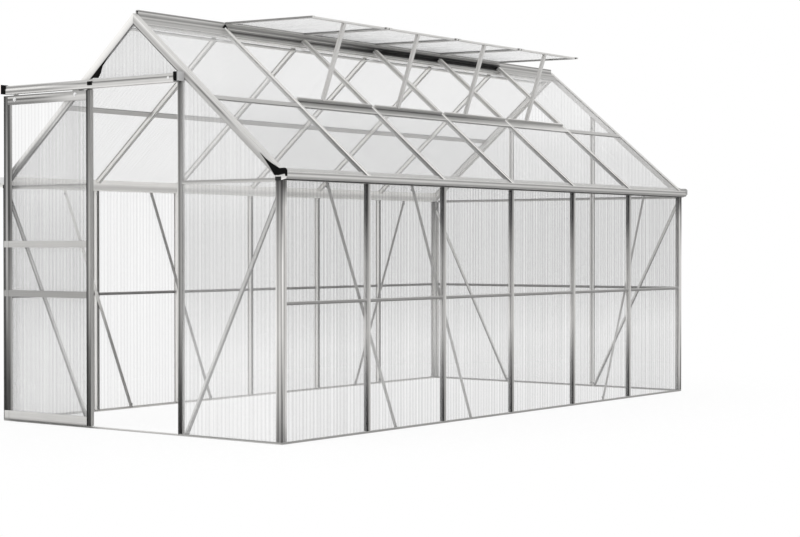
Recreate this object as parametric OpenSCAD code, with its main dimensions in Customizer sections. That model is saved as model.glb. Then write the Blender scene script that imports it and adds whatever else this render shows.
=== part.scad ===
// Walk-in greenhouse: extruded aluminium glazing bars, twin-wall sheets, a gable roof
// with four propped roof vents on one slope, and a sliding door hung outside one gable.
// X runs across the gable, Y along the ridge (door gable at -Y), Z up. Units are millimetres.

/* [Overall size] */
// Width across the gable, over the wall bars
width = 1900; // [1500:10:2400]
// Length along the ridge
length = 3800; // [2600:10:5200]
// Height of the roof surface where it meets the long walls
eave_h = 1247; // [1050:1:1500]
// Height where the two roof surfaces meet
ridge_h = 2035; // [1800:1:2500]
// Bays along each long wall
bays_long = 6; // [6:1:8]

/* [Glazing bars] */
// Width of a glazing bar's outer flange
bar_w = 28; // [22:0.5:36]
// Depth of a glazing bar, outer face to inner face
bar_d = 20; // [17:0.5:28]
// Thickness of the outer flanges
flange_t = 2.4; // [2:0.1:3.2]
// Wall thickness of the inner parts of each profile
wall = 1.8; // [1.2:0.1:2.4]
// Thickness of the neck that the sheets butt towards
neck_w = 6; // [4:0.5:9]
// Width of the bolt channel along the inner face
channel_w = 26; // [21:0.5:28]
// Mouth of the bolt channel
channel_mouth = 6.5; // [5:0.5:8]
// Shallow groove along the outer face
groove_w = 16; // [6:0.5:18]
// Depth of that groove
groove_d = 1.4; // [0.4:0.1:1.6]
// Side of a corner post
corner_w = 36; // [30:1:46]
// Depth of a corner post's sheet slots
corner_bite = 9; // [7:0.5:12]

/* [Rails] */
// Height of the base rail's upstands
base_h = 10; // [8:1:34]
// Depth by which the base rail passes the bars inwards
base_over = 6; // [6:1:20]
// Height of the groove floor that carries the sheets
base_seat = 3.5; // [3:0.1:7]
// Height of the threshold across the doorway
threshold_h = 7; // [5:1:14]
// Height of a wall rail's flanges
rail_h = 16; // [12:0.5:24]
// Width of a roof purlin's flanges
purlin_w = 30; // [20:1:40]
// Thickness of the web between the two sheets of a rail
rail_web = 3; // [2:0.5:5]
// Height of the middle of the long walls' and rear gable's mid rails
mid_rail_z = 642; // [500:1:800]
// Horizontal distance from the ridge line to the purlins
purlin_x = 518; // [380:1:640]

/* [Eave and gutter] */
// Height of the eave box above its underside, at the wall face
eave_drop = 42; // [38:1:60]
// Depth of the eave box
eave_d = 30; // [24:1:40]
// Width of the gutter trough
gutter_w = 33; // [26:1:50]
// Height of the gutter's outer wall
gutter_wall_h = 32; // [24:1:46]
// Length by which the gutters pass the gables
gutter_over = 1; // [0:1:24]
// Thickness of the gutters' end plates
end_t = 1.5; // [1:0.1:3]
// Distance that the fairings reach in from the long walls along the roof edges
fairing_len = 128; // [90:1:180]
// Thickness of the moulded end caps and fairings
cap_t = 3; // [2:0.5:3.5]

/* [Ridge and gable rafters] */
// Height of the ridge crest above the roof surfaces
crest_h = 18; // [14:1:30]
// Half width of the ridge crest
crest_half = 10; // [7:0.5:16]
// Length of each ridge flange down the slope
ridge_flange = 84; // [50:1:110]
// Depth of the sheet slot under a ridge flange
ridge_bite = 22; // [12:1:36]
// Depth of the ridge web below the roof surfaces
ridge_web_h = 60; // [45:1:90]
// Depth of a gable rafter, square to the roof
rafter_d = 41; // [34:1:56]

/* [Sheets] */
// Thickness of the twin-wall sheets
sheet_t = 4; // [4:0.5:6]
// Clearance of a sheet in its slot, each side
fit = 0.3; // [0.2:0.05:0.5]
// Gap between pieces that are screwed or pushed together
seat = 0.3; // [0.2:0.05:0.5]
// Gap between a sheet's edge and the bottom of its slot
edge_gap = 0.8; // [0.5:0.1:0.9]

/* [Roof vents] */
// Length of a vent from its hinge to its front edge
vent_len = 574; // [460:1:640]
// Angle at which the vents are propped, up from level
vent_angle = -1; // [-6:0.5:8]
// Gap between two neighbouring vents
vent_gap = 8; // [6:1:20]
// Width of the vent frame bars
vent_bar_w = 22; // [18:1:30]
// Height of the vent frame bars
vent_bar_h = 10; // [9:0.5:22]
// Length by which a vent's side bars pass its front bar
vent_horn = 9; // [0:1:20]
// Width of the vent sill down the slope
sill_w = 66; // [48:1:80]
// Height of the sill's upstand above the roof surface
sill_up = 13; // [9:1:20]
// Leg of the angle that props a vent
stay_leg = 18; // [11:1:22]
// Thickness of that angle
stay_t = 2.5; // [2:0.5:4]
// Distance of each prop's head from the middle of its vent, towards the door gable
stay_head = 33; // [0:1:150]
// Distance of each prop's foot from the middle of its vent, towards the door gable
stay_foot = 103; // [0:1:150]

/* [Braces] */
// Width of the flat brace strips
brace_w = 20; // [14:1:30]
// Thickness of the flat brace strips
brace_t = 2; // [1.5:0.5:3]
// Width of the front gable's brace strips
front_brace_w = 27; // [14:1:32]
// Height at which a gable brace meets the corner post
gable_brace_top = 1150; // [950:5:1165]

/* [Sliding door] */
// Width of the door leaf
leaf_w = 641; // [560:1:760]
// Thickness of the door leaf
leaf_d = 20; // [16:1:28]
// Distance of the open leaf's edge from the corner of the gable
leaf_park = 41; // [35:1:120]
// Gap between the gable face and the back of the leaf
leaf_gap = 10; // [9:0.5:16]
// Height of the leaf's bottom edge
leaf_z = 14; // [12:1:50]
// Height of the track's underside
track_z = 1683; // [1500:1:1760]
// Height of the track
track_h = 42; // [40:1:70]
// Depth of the track from the gable face
track_d = 38; // [36:1:52]
// Wall thickness of the track
track_t = 2.2; // [1.8:0.1:3]
// Distance of the track's open end in from the open leaf's edge
track_in = 23; // [0:1:30]
// Length by which the track passes onto the door post at its other end
track_hold = 9; // [4:1:20]
// Length of the blocks at the track's ends
block_len = 35; // [10:1:60]
// Travel of the leaf from open to closed
leaf_travel = 575; // [480:1:640]
// Width of the leaf's side stiles
stile_w = 30; // [24:1:44]
// Height of the leaf's top rail
top_rail_h = 46; // [40:1:70]
// Height of the leaf's kick rail
kick_rail_h = 45; // [34:1:70]
// Height of the leaf's two middle rails
leaf_rail_h = 33; // [24:1:50]
// Height of the middle of the leaf's lower middle rail
leaf_rail_low = 662; // [450:1:760]
// Height of the middle of the leaf's upper middle rail
leaf_rail_high = 914; // [800:1:1200]
// Radius of a door roller at its tread
roller_r = 9; // [7:0.5:12]
// Width of a door roller
roller_w = 8; // [6:0.5:10]
// Radius of a roller's axle
axle_r = 3; // [2:0.5:4]
// Distance of the leading hanger from the leaf's closing edge
hanger_lead = 109; // [52:1:160]
// Distance of the trailing hanger from the leaf's other edge
hanger_trail = 84; // [66:1:160]
// Height of the lip that the rollers run on, above the track's ledge
lip_h = 5; // [4:0.5:7]

/* [Hidden] */
$fn = 48;
bays_gable = 3;

// Layers of a glazed wall, inwards from its outer face: flange, sheet slot, inner flange
slot = sheet_t + 2 * fit;
slot_in = flange_t;
slot_out = flange_t + slot;
inner_face = slot_out + wall;
slot_end = 9;

// Bays and roof geometry
bay = (length - bar_w) / bays_long;
gable_bay = (width - bar_w) / bays_gable;
pitch = atan2(ridge_h - eave_h, width / 2);
slope_len = width / 2 / cos(pitch);
neck_edge = neck_w / 2 + edge_gap;
bar_edge = bar_w / 2 + seat;
corner_tube = corner_w - corner_bite;

// Depth of the base rail from its outer face
base_d = bar_d + base_over;

// Heights of the wall pieces
post_foot = base_h + seat;
eave_z = eave_h - eave_drop;
post_top = eave_z - seat;
cross_z = post_top + rail_web / 2 + edge_gap;
header_h = 25;
header_z = track_z + header_h / 2 + 6;
rail_slot = rail_web / 2;

// Gable rafters: where the roof sheet's slot ends, and the gable sheet's slot
rafter_neck = 19;
rafter_slot = rafter_d - slot_end;

// Roof pieces, measured up the slope from the eave line
purlin_s = (width / 2 - purlin_x) / cos(pitch);
sill_s = purlin_s - purlin_w / 2;
sill_bite = 12;
eave_over = 8;
sheet_over = 12;
bar_top = slope_len - ridge_flange - seat;
sheet_top = slope_len - ridge_flange + ridge_bite - edge_gap;

// Edges of the sheets in their slots
wall_low = base_seat + edge_gap;
wall_top = eave_z + slot_end - edge_gap;
rail_edge = rail_slot + edge_gap;
corner_edge = corner_tube + edge_gap;
roof_edge = rafter_neck + edge_gap;
gable_edge = rafter_slot + edge_gap;
doorway = gable_bay / 2 - bar_w / 2;
under = rafter_d + seat;

// Braces of the long walls: the post that each crosses, the way that it leans, and the distances of
// its top and of its foot from that post
braces_right = [[bays_long - 1, -1, 292, 245], [bays_long - 2, -1, 251, 266], [1, 1, 205, 275]];
braces_left = [[1, 1, 239, 254], [2, 1, 219, 272], [bays_long - 1, -1, 266, 260]];

// Vents
vents = 4;
first_vent = floor((bays_long - vents) / 2);
last_vent = first_vent + vents - 1;
vent_w = bay - vent_gap;
vent_round = min(3, vent_bar_h / 2 - slot / 2 - 0.8);
vent_x = crest_half + seat + 0.2;
vent_z = ridge_h + crest_h - vent_bar_h / 2 + 1;

// Ridge: half thickness of the web, and where the flange ends over the vents, down the slope
ridge_web = 2.5;
ridge_stub = max(bar_d * tan(pitch) + (ridge_web + 3 * seat) / cos(pitch), (crest_half + 2) / cos(pitch));

// Gutter and its end caps
bead_r = 3.5;
trough_z = eave_z + 6;
lip_z = trough_z + gutter_wall_h - bead_r;
trough_bend = 4;
cap_in = 11;
cap_out = gutter_w + 5;

// Door leaf, track and hangers, measured outwards from the gable face
leaf_left = leaf_park - width / 2;
leaf_top = track_z - 8;
leaf_front = leaf_gap + leaf_d;
hanger_w = 36;
hanger_t = 2.5;
hanger_y = leaf_gap + leaf_d / 2;
roller_gap = 2;
roller_y = hanger_y - hanger_t / 2 - roller_gap - roller_w / 2;
lip_t = 2;
lip_top = track_z + track_t + lip_h;
roller_z = lip_top + seat + roller_r;
roller_flange = 2.5;
hanger_foot = leaf_top - 32;
track_left = leaf_left + track_in;
track_right = max(leaf_left + leaf_travel + leaf_w, doorway + track_hold);
track_top = track_z + track_h;
track_step = 2.5;
band_z = track_z + 0.62 * track_h;
clip_t = 2.5;
clip_x = gable_bay / 2 - 65;

// The whole house is set so that the middle of its outline lies on the origin
front_reach = track_d + seat + clip_t;
rear_reach = gutter_over + end_t + cap_t + 2 * seat;
shift_y = (front_reach - rear_reach) / 2;

// ---------- places ----------
// A wall's own frame: X along the wall, Y outwards from its outer face, Z up
module on_rear() translate([0, shift_y + length / 2, 0]) children();
module on_front() translate([0, shift_y - length / 2, 0]) rotate([0, 0, 180]) children();
module on_right() translate([width / 2, shift_y, 0]) rotate([0, 0, -90]) children();
module on_left() translate([-width / 2, shift_y, 0]) rotate([0, 0, 90]) children();

// A roof slope's own frame, inside a long wall's: X along the wall, Y out of the roof, Z up the slope
module on_slope() translate([0, 0, eave_h]) rotate([90 - pitch, 0, 0]) children();

// The door leaf's frame: X from its closing edge, Y outwards from its front face
module on_leaf()
    translate([leaf_left + leaf_w, shift_y - length / 2 - leaf_front, 0])
        rotate([0, 0, 180])
            children();

// Where the bars of a long wall and of a gable stand; the first and the last are at the corners
function station(k) = -length / 2 + bar_w / 2 + k * bay;
function gable_station(k) = -width / 2 + bar_w / 2 + k * gable_bay;

// The two ends of bay k in a row, with their own distance from the row's ends and from a bar
function bay_from(k, at, row_end, bar_end, half) = k == 0 ? row_end - half : at + bar_end;
function bay_to(k, count, at, row_end, bar_end, half) = k == count - 1 ? half - row_end : at - bar_end;

// Height of a line under the roof surface, at a distance from the middle of the gable
function roof_z(x, depth) = ridge_h - abs(x) * tan(pitch) - depth / cos(pitch);

// Height of the seat under the roof sheets, at a distance outwards from a long wall's face
function eave_seat(y) = eave_h - y * tan(pitch) - slot_out / cos(pitch);

// A point of a gable, drawn as (outwards from the long wall, up), at a height under the roof surface
function under_roof(y, drop) = [y, eave_h - y * tan(pitch) - drop];

// Curve from a to b that bends towards c
function curve(a, c, b) = [for (t = [0:0.125:1]) (1 - t) * (1 - t) * a + 2 * t * (1 - t) * c + t * t * b];

// A point of the ridge beam: distance down the slope, and out of the roof
function down_slope(d, n) = [d * cos(pitch) + n * sin(pitch), ridge_h - d * sin(pitch) + n * cos(pitch)];

// A point of the right-hand slope: distance up it from the eave line, and out of the roof
function up_slope(s, n) = [
    width / 2 - s * cos(pitch) + n * sin(pitch),
    eave_h + s * sin(pitch) + n * cos(pitch)
];

// Outline completed by its own mirror image
function mirrored(points) = concat(points, [for (k = [len(points) - 1:-1:0]) [-points[k][0], points[k][1]]]);

// Runs a profile, drawn as (outwards, up), along the wall from x0 to x1
module along(x0, x1) translate([x0, 0, 0]) rotate([90, 0, 90]) linear_extrude(x1 - x0) children();

// A plate drawn as (along the wall, up), its outer face at y
module plate(y, thick) translate([0, y, 0]) rotate([90, 0, 0]) linear_extrude(thick) children();

module sheet_colour() color([0.86, 0.88, 0.89, 0.5]) children();
module bar_colour() color([0.74, 0.73, 0.70]) children();
module black() color([0.12, 0.12, 0.12]) children();

// A sheet in the plane of the slots, cut to an outline drawn as (along the wall, up)
module sheet(outline) plate(-slot_in - fit, sheet_t) polygon(outline);
module sheet_box(x0, x1, z0, z1) sheet([[x0, z0], [x1, z0], [x1, z1], [x0, z1]]);

// ---------- extruded profiles ----------
// Glazing bar: grooved outer flange, neck, inner flange and a bolt channel open to the inside
module bar_profile() {
    floor_y = -inner_face - wall;
    lips = wall - bar_d;
    inner_w = bar_w / 2 - 2;
    polygon(mirrored([
        [groove_w / 2, -groove_d], [groove_w / 2, 0], [bar_w / 2, 0], [bar_w / 2, -slot_in],
        [neck_w / 2, -slot_in], [neck_w / 2, -slot_out], [inner_w, -slot_out],
        [inner_w, -inner_face], [channel_w / 2, -inner_face], [channel_w / 2, -bar_d],
        [channel_mouth / 2, -bar_d], [channel_mouth / 2, lips], [channel_w / 2 - wall, lips],
        [channel_w / 2 - wall, floor_y]
    ]));
}

// Corner post: a square tube with a sheet slot along both walls, its outer corner at the origin
module corner_profile() {
    tube = corner_tube;
    half = [
        [0, 0], [-corner_w, 0], [-corner_w, -slot_in], [-tube, -slot_in], [-tube, -slot_out],
        [-corner_w, -slot_out], [-corner_w, -inner_face], [-tube, -inner_face], [-tube, -tube]
    ];
    difference() {
        polygon(concat(half, [for (k = [len(half) - 2:-1:1]) [half[k][1], half[k][0]]]));
        translate([wall - tube, wall - tube]) square(tube - wall - flange_t);
        translate([-tube / 2 - groove_w / 2, -groove_d]) square([groove_w, groove_d + 1]);
        translate([-groove_d, -tube / 2 - groove_w / 2]) square([groove_d + 1, groove_w]);
    }
}

// Rail between two sheets: an H whose slots open up and down
module rail_profile(height) {
    half = height / 2;
    polygon([
        [0, -half], [0, half], [-slot_in, half], [-slot_in, rail_slot], [-slot_out, rail_slot],
        [-slot_out, half], [-inner_face, half], [-inner_face, -half], [-slot_out, -half],
        [-slot_out, -rail_slot], [-slot_in, -rail_slot], [-slot_in, -half]
    ]);
}

// Base rail: outer and inner upstand with the sheet groove between, and a foot with a lip
module base_profile() {
    lip = 5;
    polygon([
        [0, 0], [0, base_h], [-slot_in, base_h], [-slot_in, base_seat], [-slot_out, base_seat],
        [-slot_out, base_h], [-inner_face, base_h], [-inner_face, flange_t],
        [wall - base_d, flange_t], [wall - base_d, lip], [-base_d, lip], [-base_d, 0]
    ]);
}

// Eave beam with its gutter: a box under the roof sheets, a slot for the wall sheets and a trough
module eave_profile() {
    slot_z = eave_z + slot_end;
    difference() {
        union() {
            polygon([
                [-eave_d, eave_z + 10], [6 - eave_d, eave_z], [-slot_out, eave_z], [-slot_out, slot_z],
                [-slot_in, slot_z], [-slot_in, eave_z], [0, eave_z], [0, trough_z],
                [gutter_w - trough_bend, trough_z], [gutter_w, trough_z + trough_bend],
                [gutter_w, lip_z], [gutter_w - wall, lip_z],
                [gutter_w - wall, trough_z + trough_bend + wall / 2],
                [gutter_w - trough_bend - wall / 2, trough_z + wall], [wall, trough_z + wall],
                [wall, eave_seat(wall)], [-eave_d, eave_seat(-eave_d)]
            ]);
            translate([gutter_w - bead_r + 0.5, lip_z]) circle(bead_r);
        }
        polygon([
            [wall - eave_d, slot_z + wall], [-wall, slot_z + wall],
            [-wall, eave_seat(-wall) - 2 * wall], [wall - eave_d, eave_seat(wall - eave_d) - 2 * wall]
        ]);
        translate([gutter_w - bead_r + 0.5, lip_z]) circle(bead_r - wall);
    }
}

// Everything that the eave box takes up, with the gap that roof bars keep from it
module eave_room() {
    inner = -eave_d - seat;
    outer = gutter_w + 40;
    along(-length, length)
        polygon([[inner, 0], [inner, eave_seat(inner) + seat], [outer, eave_seat(outer) + seat], [outer, 0]]);
}

// Ridge beam: hollow crest, a slotted flange down each slope, and a hanging web with a bulb
module ridge_profile() {
    bulb = 8;
    crest_z = ridge_h + crest_h;
    web_z = ridge_h - ridge_web_h;
    bite = ridge_flange - ridge_bite;
    step = 1.2;
    half = [
        [crest_half - 3, crest_z], [crest_half, crest_z - 3], [crest_half, roof_z(crest_half, 0)],
        down_slope(ridge_flange / 2, 0), down_slope(ridge_flange / 2, -step),
        down_slope(ridge_flange, -step), down_slope(ridge_flange, -slot_in),
        down_slope(bite, -slot_in), down_slope(bite, -slot_out),
        down_slope(ridge_flange - 6, -slot_out), down_slope(ridge_flange - 6, -inner_face),
        [ridge_web, roof_z(ridge_web, inner_face)], [ridge_web, web_z + bulb],
        [bulb, web_z + bulb], [bulb, web_z]
    ];
    difference() {
        polygon(mirrored(half));
        polygon(mirrored([[crest_half - 4, crest_z - 5], [crest_half - 3, roof_z(crest_half, 0) + 1]]));
    }
}

// Gable rafter, drawn as (in from the gable face, out of the roof), with a slot for each sheet
module rafter_profile() {
    foot = 2 - rafter_slot;
    difference() {
        polygon([
            [0, 0], [bar_w, 0], [bar_w, -slot_in], [rafter_neck, -slot_in], [rafter_neck, -slot_out],
            [bar_w, -slot_out], [bar_w, foot], [inner_face, foot], [inner_face, -rafter_d],
            [slot_out, -rafter_d],
            [slot_out, -rafter_slot], [slot_in, -rafter_slot], [slot_in, -rafter_d], [0, -rafter_d]
        ]);
        polygon([
            [slot_in, -flange_t], [rafter_neck - wall, -flange_t], [rafter_neck - wall, -inner_face],
            [bar_w - wall, -inner_face], [bar_w - wall, foot + wall], [slot_in, foot + wall]
        ]);
    }
}

// Vent sill, drawn as (out of the roof, up the slope): sheet slot, cover, upstand and bolt leg
module sill_profile() {
    polygon([
        [0, 0], [0, sill_w - 12], [sill_up - 3, sill_w - 10], [sill_up, sill_w - 7], [sill_up, sill_w],
        [-bar_d, sill_w], [-bar_d, sill_w - wall], [-flange_t, sill_w - wall],
        [-flange_t, sill_bite + wall], [-inner_face, sill_bite + wall], [-inner_face, 0],
        [-slot_out, 0], [-slot_out, sill_bite], [-slot_in, sill_bite], [-slot_in, 0]
    ]);
}

// Vent frame bar: a flat C with rounded shoulders, whose slot holds the vent's sheet
module vent_profile() {
    half = vent_bar_h / 2;
    mouth = vent_bar_w - slot_end;
    polygon([
        [0, vent_round - half], [vent_round, -half], [vent_bar_w, -half], [vent_bar_w, -slot / 2],
        [mouth, -slot / 2], [mouth, slot / 2], [vent_bar_w, slot / 2], [vent_bar_w, half - vent_round],
        [vent_bar_w - vent_round, half], [vent_round, half], [0, half - vent_round]
    ]);
}

// Door stile: a box with a sheet slot, grooved along its front face
module stile_profile() {
    box_w = stile_w - slot_end;
    difference() {
        polygon([
            [0, 0], [stile_w, 0], [stile_w, -slot_in], [box_w, -slot_in], [box_w, -slot_out],
            [stile_w, -slot_out], [stile_w, -inner_face], [box_w, -inner_face], [box_w, -leaf_d],
            [0, -leaf_d]
        ]);
        translate([wall, wall - leaf_d]) square([box_w - 2 * wall, leaf_d - wall - flange_t]);
        translate([box_w / 2 - groove_w / 2, -groove_d]) square([groove_w, groove_d + 1]);
    }
}

// Door rail, drawn as (outwards, up): a box with a sheet slot above and, where asked, below
module leaf_rail_profile(height, below) {
    half = height / 2;
    box = half - slot_end;
    low = below ? -box : -half;
    difference() {
        translate([-leaf_d, low]) square([leaf_d, box - low]);
        translate([wall - leaf_d, low + wall]) square([leaf_d - wall - flange_t, box - low - 2 * wall]);
    }
    for (up = below ? [0, 1] : [1])
        mirror([0, 1 - up])
            for (y = [-slot_in, -inner_face])
                translate([y, box - 0.01])
                    square([y == -slot_in ? slot_in : wall, slot_end + 0.01]);
}

// Top rail of the leaf: sheet slot below, and a channel above that takes the hanger plates
module top_rail_profile() {
    chan = hanger_t / 2 + fit;
    chan_z = hanger_foot - seat;
    rail_z = leaf_top - top_rail_h;
    hollow_z = rail_z + slot_end + wall;
    difference() {
        translate([-leaf_d, rail_z]) square([leaf_d, top_rail_h]);
        translate([-slot_out, rail_z - 1]) square([slot, slot_end + 1]);
        translate([-leaf_d / 2 - chan, chan_z]) square([2 * chan, leaf_top + 1 - chan_z]);
        translate([chan + wall - leaf_d / 2, hollow_z])
            square([leaf_d / 2 - chan - 2 * wall, leaf_top - wall - hollow_z]);
        translate([wall - leaf_d, rail_z + wall])
            square([leaf_d / 2 - chan - 2 * wall, top_rail_h - 2 * wall]);
    }
}

// Door track, drawn as (outwards, up): back plate, ledge with its running lip, hood and front
module track_profile() {
    face = track_d - track_step;
    lip = roller_y + lip_t / 2;
    polygon([
        [seat, track_z], [lip, track_z], [lip, lip_top], [lip - lip_t, lip_top],
        [lip - lip_t, track_z + track_t], [seat + track_t, track_z + track_t],
        [seat + track_t, track_top - track_t], [face - track_t, track_top - track_t],
        [face - track_t, band_z - track_t], [track_d - track_t, band_z - track_t],
        [track_d - track_t, track_z + track_t], [track_d - 5, track_z + track_t],
        [track_d - 5, track_z], [track_d, track_z], [track_d, band_z], [face, band_z],
        [face, track_top - 2], [face - 2, track_top], [seat, track_top]
    ]);
}

// ---------- base ----------
// End of a mitred rail at a depth y behind the face; a square end is left to the extrusion
function mitre(x, dir, mitred, y) = mitred ? x + dir * (seat / sqrt(2) - y) : x - dir;

module base_rail(x0, x1, mitre0, mitre1) {
    back = -base_d - 1;
    intersection() {
        along(x0, x1) base_profile();
        translate([0, 0, -1])
            linear_extrude(base_h + 2)
                polygon([
                    [mitre(x0, 1, mitre0, 1), 1], [mitre(x1, -1, mitre1, 1), 1],
                    [mitre(x1, -1, mitre1, back), back], [mitre(x0, 1, mitre0, back), back]
                ]);
    }
}

module base_rails_long() bar_colour() {
    on_right() base_rail(-length / 2, length / 2, true, true);
    on_left() base_rail(-length / 2, length / 2, true, true);
}

module base_rails_gable() bar_colour() {
    on_rear() base_rail(-width / 2, width / 2, true, true);
    on_front() base_rail(doorway, width / 2, false, true);
    on_front() base_rail(-width / 2, -doorway, true, false);
}

module door_threshold() black()
    on_front()
        along(seat - doorway, doorway - seat)
            polygon([
                [0, 0], [0, threshold_h - 2], [-5, threshold_h], [5 - base_d, threshold_h],
                [-base_d, threshold_h - 2], [-base_d, 0]
            ]);

// ---------- posts ----------
module post(x, top) translate([x, 0, post_foot]) linear_extrude(top - post_foot) bar_profile();

module corner_posts() bar_colour()
    for (k = [0:3])
        translate([0, shift_y, post_foot])
            rotate([0, 0, 90 * k])
                translate(k % 2 == 0 ? [width / 2, length / 2, 0] : [length / 2, width / 2, 0])
                    linear_extrude(post_top - post_foot)
                        corner_profile();

module side_posts() for (k = [1:bays_long - 1]) post(station(k), post_top);

module side_posts_right() bar_colour() on_right() side_posts();
module side_posts_left() bar_colour() on_left() side_posts();

// Gable posts run up to the rafters and are cut along their undersides
module gable_posts()
    intersection() {
        for (k = [1:bays_gable - 1]) post(gable_station(k), ridge_h);
        plate(bar_d, 3 * bar_d)
            polygon([
                [-width / 2, 0], [width / 2, 0], [width / 2, roof_z(width / 2, under)],
                [0, roof_z(0, under)], [-width / 2, roof_z(width / 2, under)]
            ]);
    }

module door_posts() bar_colour() on_front() gable_posts();
module rear_gable_posts() bar_colour() on_rear() gable_posts();

// ---------- eaves and gutters ----------
// Plate that closes a gutter's end, drawn as (outwards, up)
module end_plate_outline()
    polygon([
        [-eave_d, eave_z + 10], [6 - eave_d, eave_z], [0, eave_z], [gutter_w - trough_bend, trough_z],
        [gutter_w, trough_z + trough_bend], [gutter_w, lip_z], [wall, lip_z], [wall, eave_seat(wall)],
        [-eave_d, eave_seat(-eave_d)]
    ]);

module gutter() {
    out = length / 2 + gutter_over;
    along(-out, out) eave_profile();
    for (side = [0, 1])
        mirror([side, 0, 0])
            along(out + seat, out + seat + end_t) end_plate_outline();
}

module gutter_right() bar_colour() on_right() gutter();
module gutter_left() bar_colour() on_left() gutter();

// Fairing over a rafter's foot and the hooked cap over the gutter, drawn in one as (outwards, up)
module corner_outline() {
    tip = under_roof(-fairing_len, 20);
    shoulder = under_roof(-cap_in, -5);
    low_foot = under_roof(-41, 53);
    cap_z = low_foot[1] + 5;
    hook_w = 11;
    hook_z = cap_z - 11;
    union() {
        polygon(concat(
            curve(tip, under_roof(-0.67 * fairing_len, 27), shoulder), [[-cap_in, cap_z - 6]],
            curve(low_foot, under_roof(-0.66 * fairing_len, 29), tip)
        ));
        polygon([
            [-cap_in - 1, cap_z - 5], [cap_out - hook_w - 2, cap_z], [cap_out - hook_w, hook_z],
            [cap_out, hook_z], [cap_out, cap_z + 16], [cap_out - 5, cap_z + 23],
            [cap_out - 13, cap_z + 27], [cap_out - 28, cap_z + 27], [-cap_in - 1, shoulder[1] - 2]
        ]);
    }
}

// The two pieces at one end of a wall, towards dir: the fairing on the rafter and the cap on the plate
module cap_and_fairing(dir) {
    split = -eave_d - seat / 2;
    flip = dir > 0 ? 0 : 1;
    mirror([flip, 0, 0]) {
        along(length / 2 + seat, length / 2 + seat + cap_t) difference() {
            corner_outline();
            translate([split - seat / 2, 0]) square([width, ridge_h]);
        }
        along(length / 2 + rear_reach - cap_t, length / 2 + rear_reach) intersection() {
            corner_outline();
            translate([split + seat / 2, 0]) square([width, ridge_h]);
        }
    }
}

module gutter_caps_front() black() {
    on_right() cap_and_fairing(1);
    on_left() cap_and_fairing(-1);
}

module gutter_caps_rear() color([0.45, 0.45, 0.44]) {
    on_right() cap_and_fairing(-1);
    on_left() cap_and_fairing(1);
}

// ---------- rails in the walls ----------
// Rail across bay k of a wall whose bars stand at the given places
module wall_rail(k, count, from, to, half, z, height) {
    x0 = bay_from(k, from, corner_w + seat, bar_edge, half);
    x1 = bay_to(k, count, to, corner_w + seat, bar_edge, half);
    along(x0, x1) translate([0, z]) rail_profile(height);
}

module long_rail(k, z) wall_rail(k, bays_long, station(k), station(k + 1), length / 2, z, rail_h);

module gable_rail(k, z, height)
    wall_rail(k, bays_gable, gable_station(k), gable_station(k + 1), width / 2, z, height);

module mid_rails_long() bar_colour()
    for (k = [0:bays_long - 1]) {
        on_right() long_rail(k, mid_rail_z);
        on_left() long_rail(k, mid_rail_z);
    }

module mid_rails_rear() bar_colour()
    on_rear()
        for (k = [0:bays_gable - 1]) gable_rail(k, mid_rail_z, rail_h);

module cross_rails() bar_colour() {
    on_rear()
        for (k = [0:bays_gable - 1]) gable_rail(k, cross_z, rail_h);
    on_front()
        for (k = [0, bays_gable - 1]) gable_rail(k, cross_z, rail_h);
}

module door_header() bar_colour() on_front() gable_rail(1, header_z, header_h);

// ---------- roof frame ----------
// Rafter of one slope at the end of the wall towards dir, mitred at the ridge line
module gable_rafter(dir)
    difference() {
        on_slope()
            translate([dir * length / 2, 0, -eave_over])
                mirror([dir > 0 ? 1 : 0, 0, 0])
                    linear_extrude(slope_len + eave_over + 60)
                        rafter_profile();
        eave_room();
        translate([-length, seat / 2 - width, 0]) cube([2 * length, width / 2, 2 * ridge_h]);
    }

module gable_rafters_front() bar_colour() {
    on_right() gable_rafter(1);
    on_left() gable_rafter(-1);
}

module gable_rafters_rear() bar_colour() {
    on_right() gable_rafter(-1);
    on_left() gable_rafter(1);
}

// Roof bars of one slope; those beside the vents run on to the crest
module roof_bars(long_from, long_to)
    difference() {
        on_slope()
            for (k = [1:bays_long - 1]) {
                top = k >= long_from && k <= long_to ? slope_len - ridge_stub - seat : bar_top;
                translate([station(k), 0, -eave_over]) linear_extrude(top + eave_over) bar_profile();
            }
        eave_room();
    }

module roof_bars_right() bar_colour() on_right() roof_bars(first_vent, last_vent + 1);
module roof_bars_left() bar_colour() on_left() roof_bars(bays_long, bays_long);

// The flange on the vents' side is cut away between the first vent and the last
module ridge_beam() bar_colour()
    difference() {
        translate([0, shift_y + length / 2 - bar_w - seat, 0])
            rotate([90, 0, 0])
                linear_extrude(length - 2 * bar_w - 2 * seat)
                    ridge_profile();
        on_right()
            on_slope()
                translate([station(first_vent) - bar_edge, -40, slope_len - ridge_flange - 5])
                    cube([vents * bay + 2 * bar_edge, 80, ridge_flange + 5 - ridge_stub]);
    }

// Rail across bay k of a roof slope
module roof_rail(k, s) along(station(k) + bar_edge, station(k + 1) - bar_edge) translate([0, s]) children();

module purlins() bar_colour() {
    on_left()
        on_slope()
            for (k = [0:bays_long - 1]) roof_rail(k, purlin_s) rail_profile(purlin_w);
    on_right()
        on_slope()
            for (k = [0:bays_long - 1])
                if (k < first_vent || k > last_vent) roof_rail(k, purlin_s) rail_profile(purlin_w);
}

module vent_sills() bar_colour()
    on_right()
        on_slope()
            for (k = [first_vent:last_vent]) roof_rail(k, sill_s) sill_profile();

// ---------- roof vents ----------
// Frame of vent k, counted from the door gable: X from its hinge, Y along the ridge, Z square to it
module on_vent(k)
    translate([vent_x, shift_y + vent_middle(k), vent_z]) rotate([0, -vent_angle, 0]) children();

function vent_middle(k) = station(first_vent + k - 1) + bay / 2;

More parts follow.
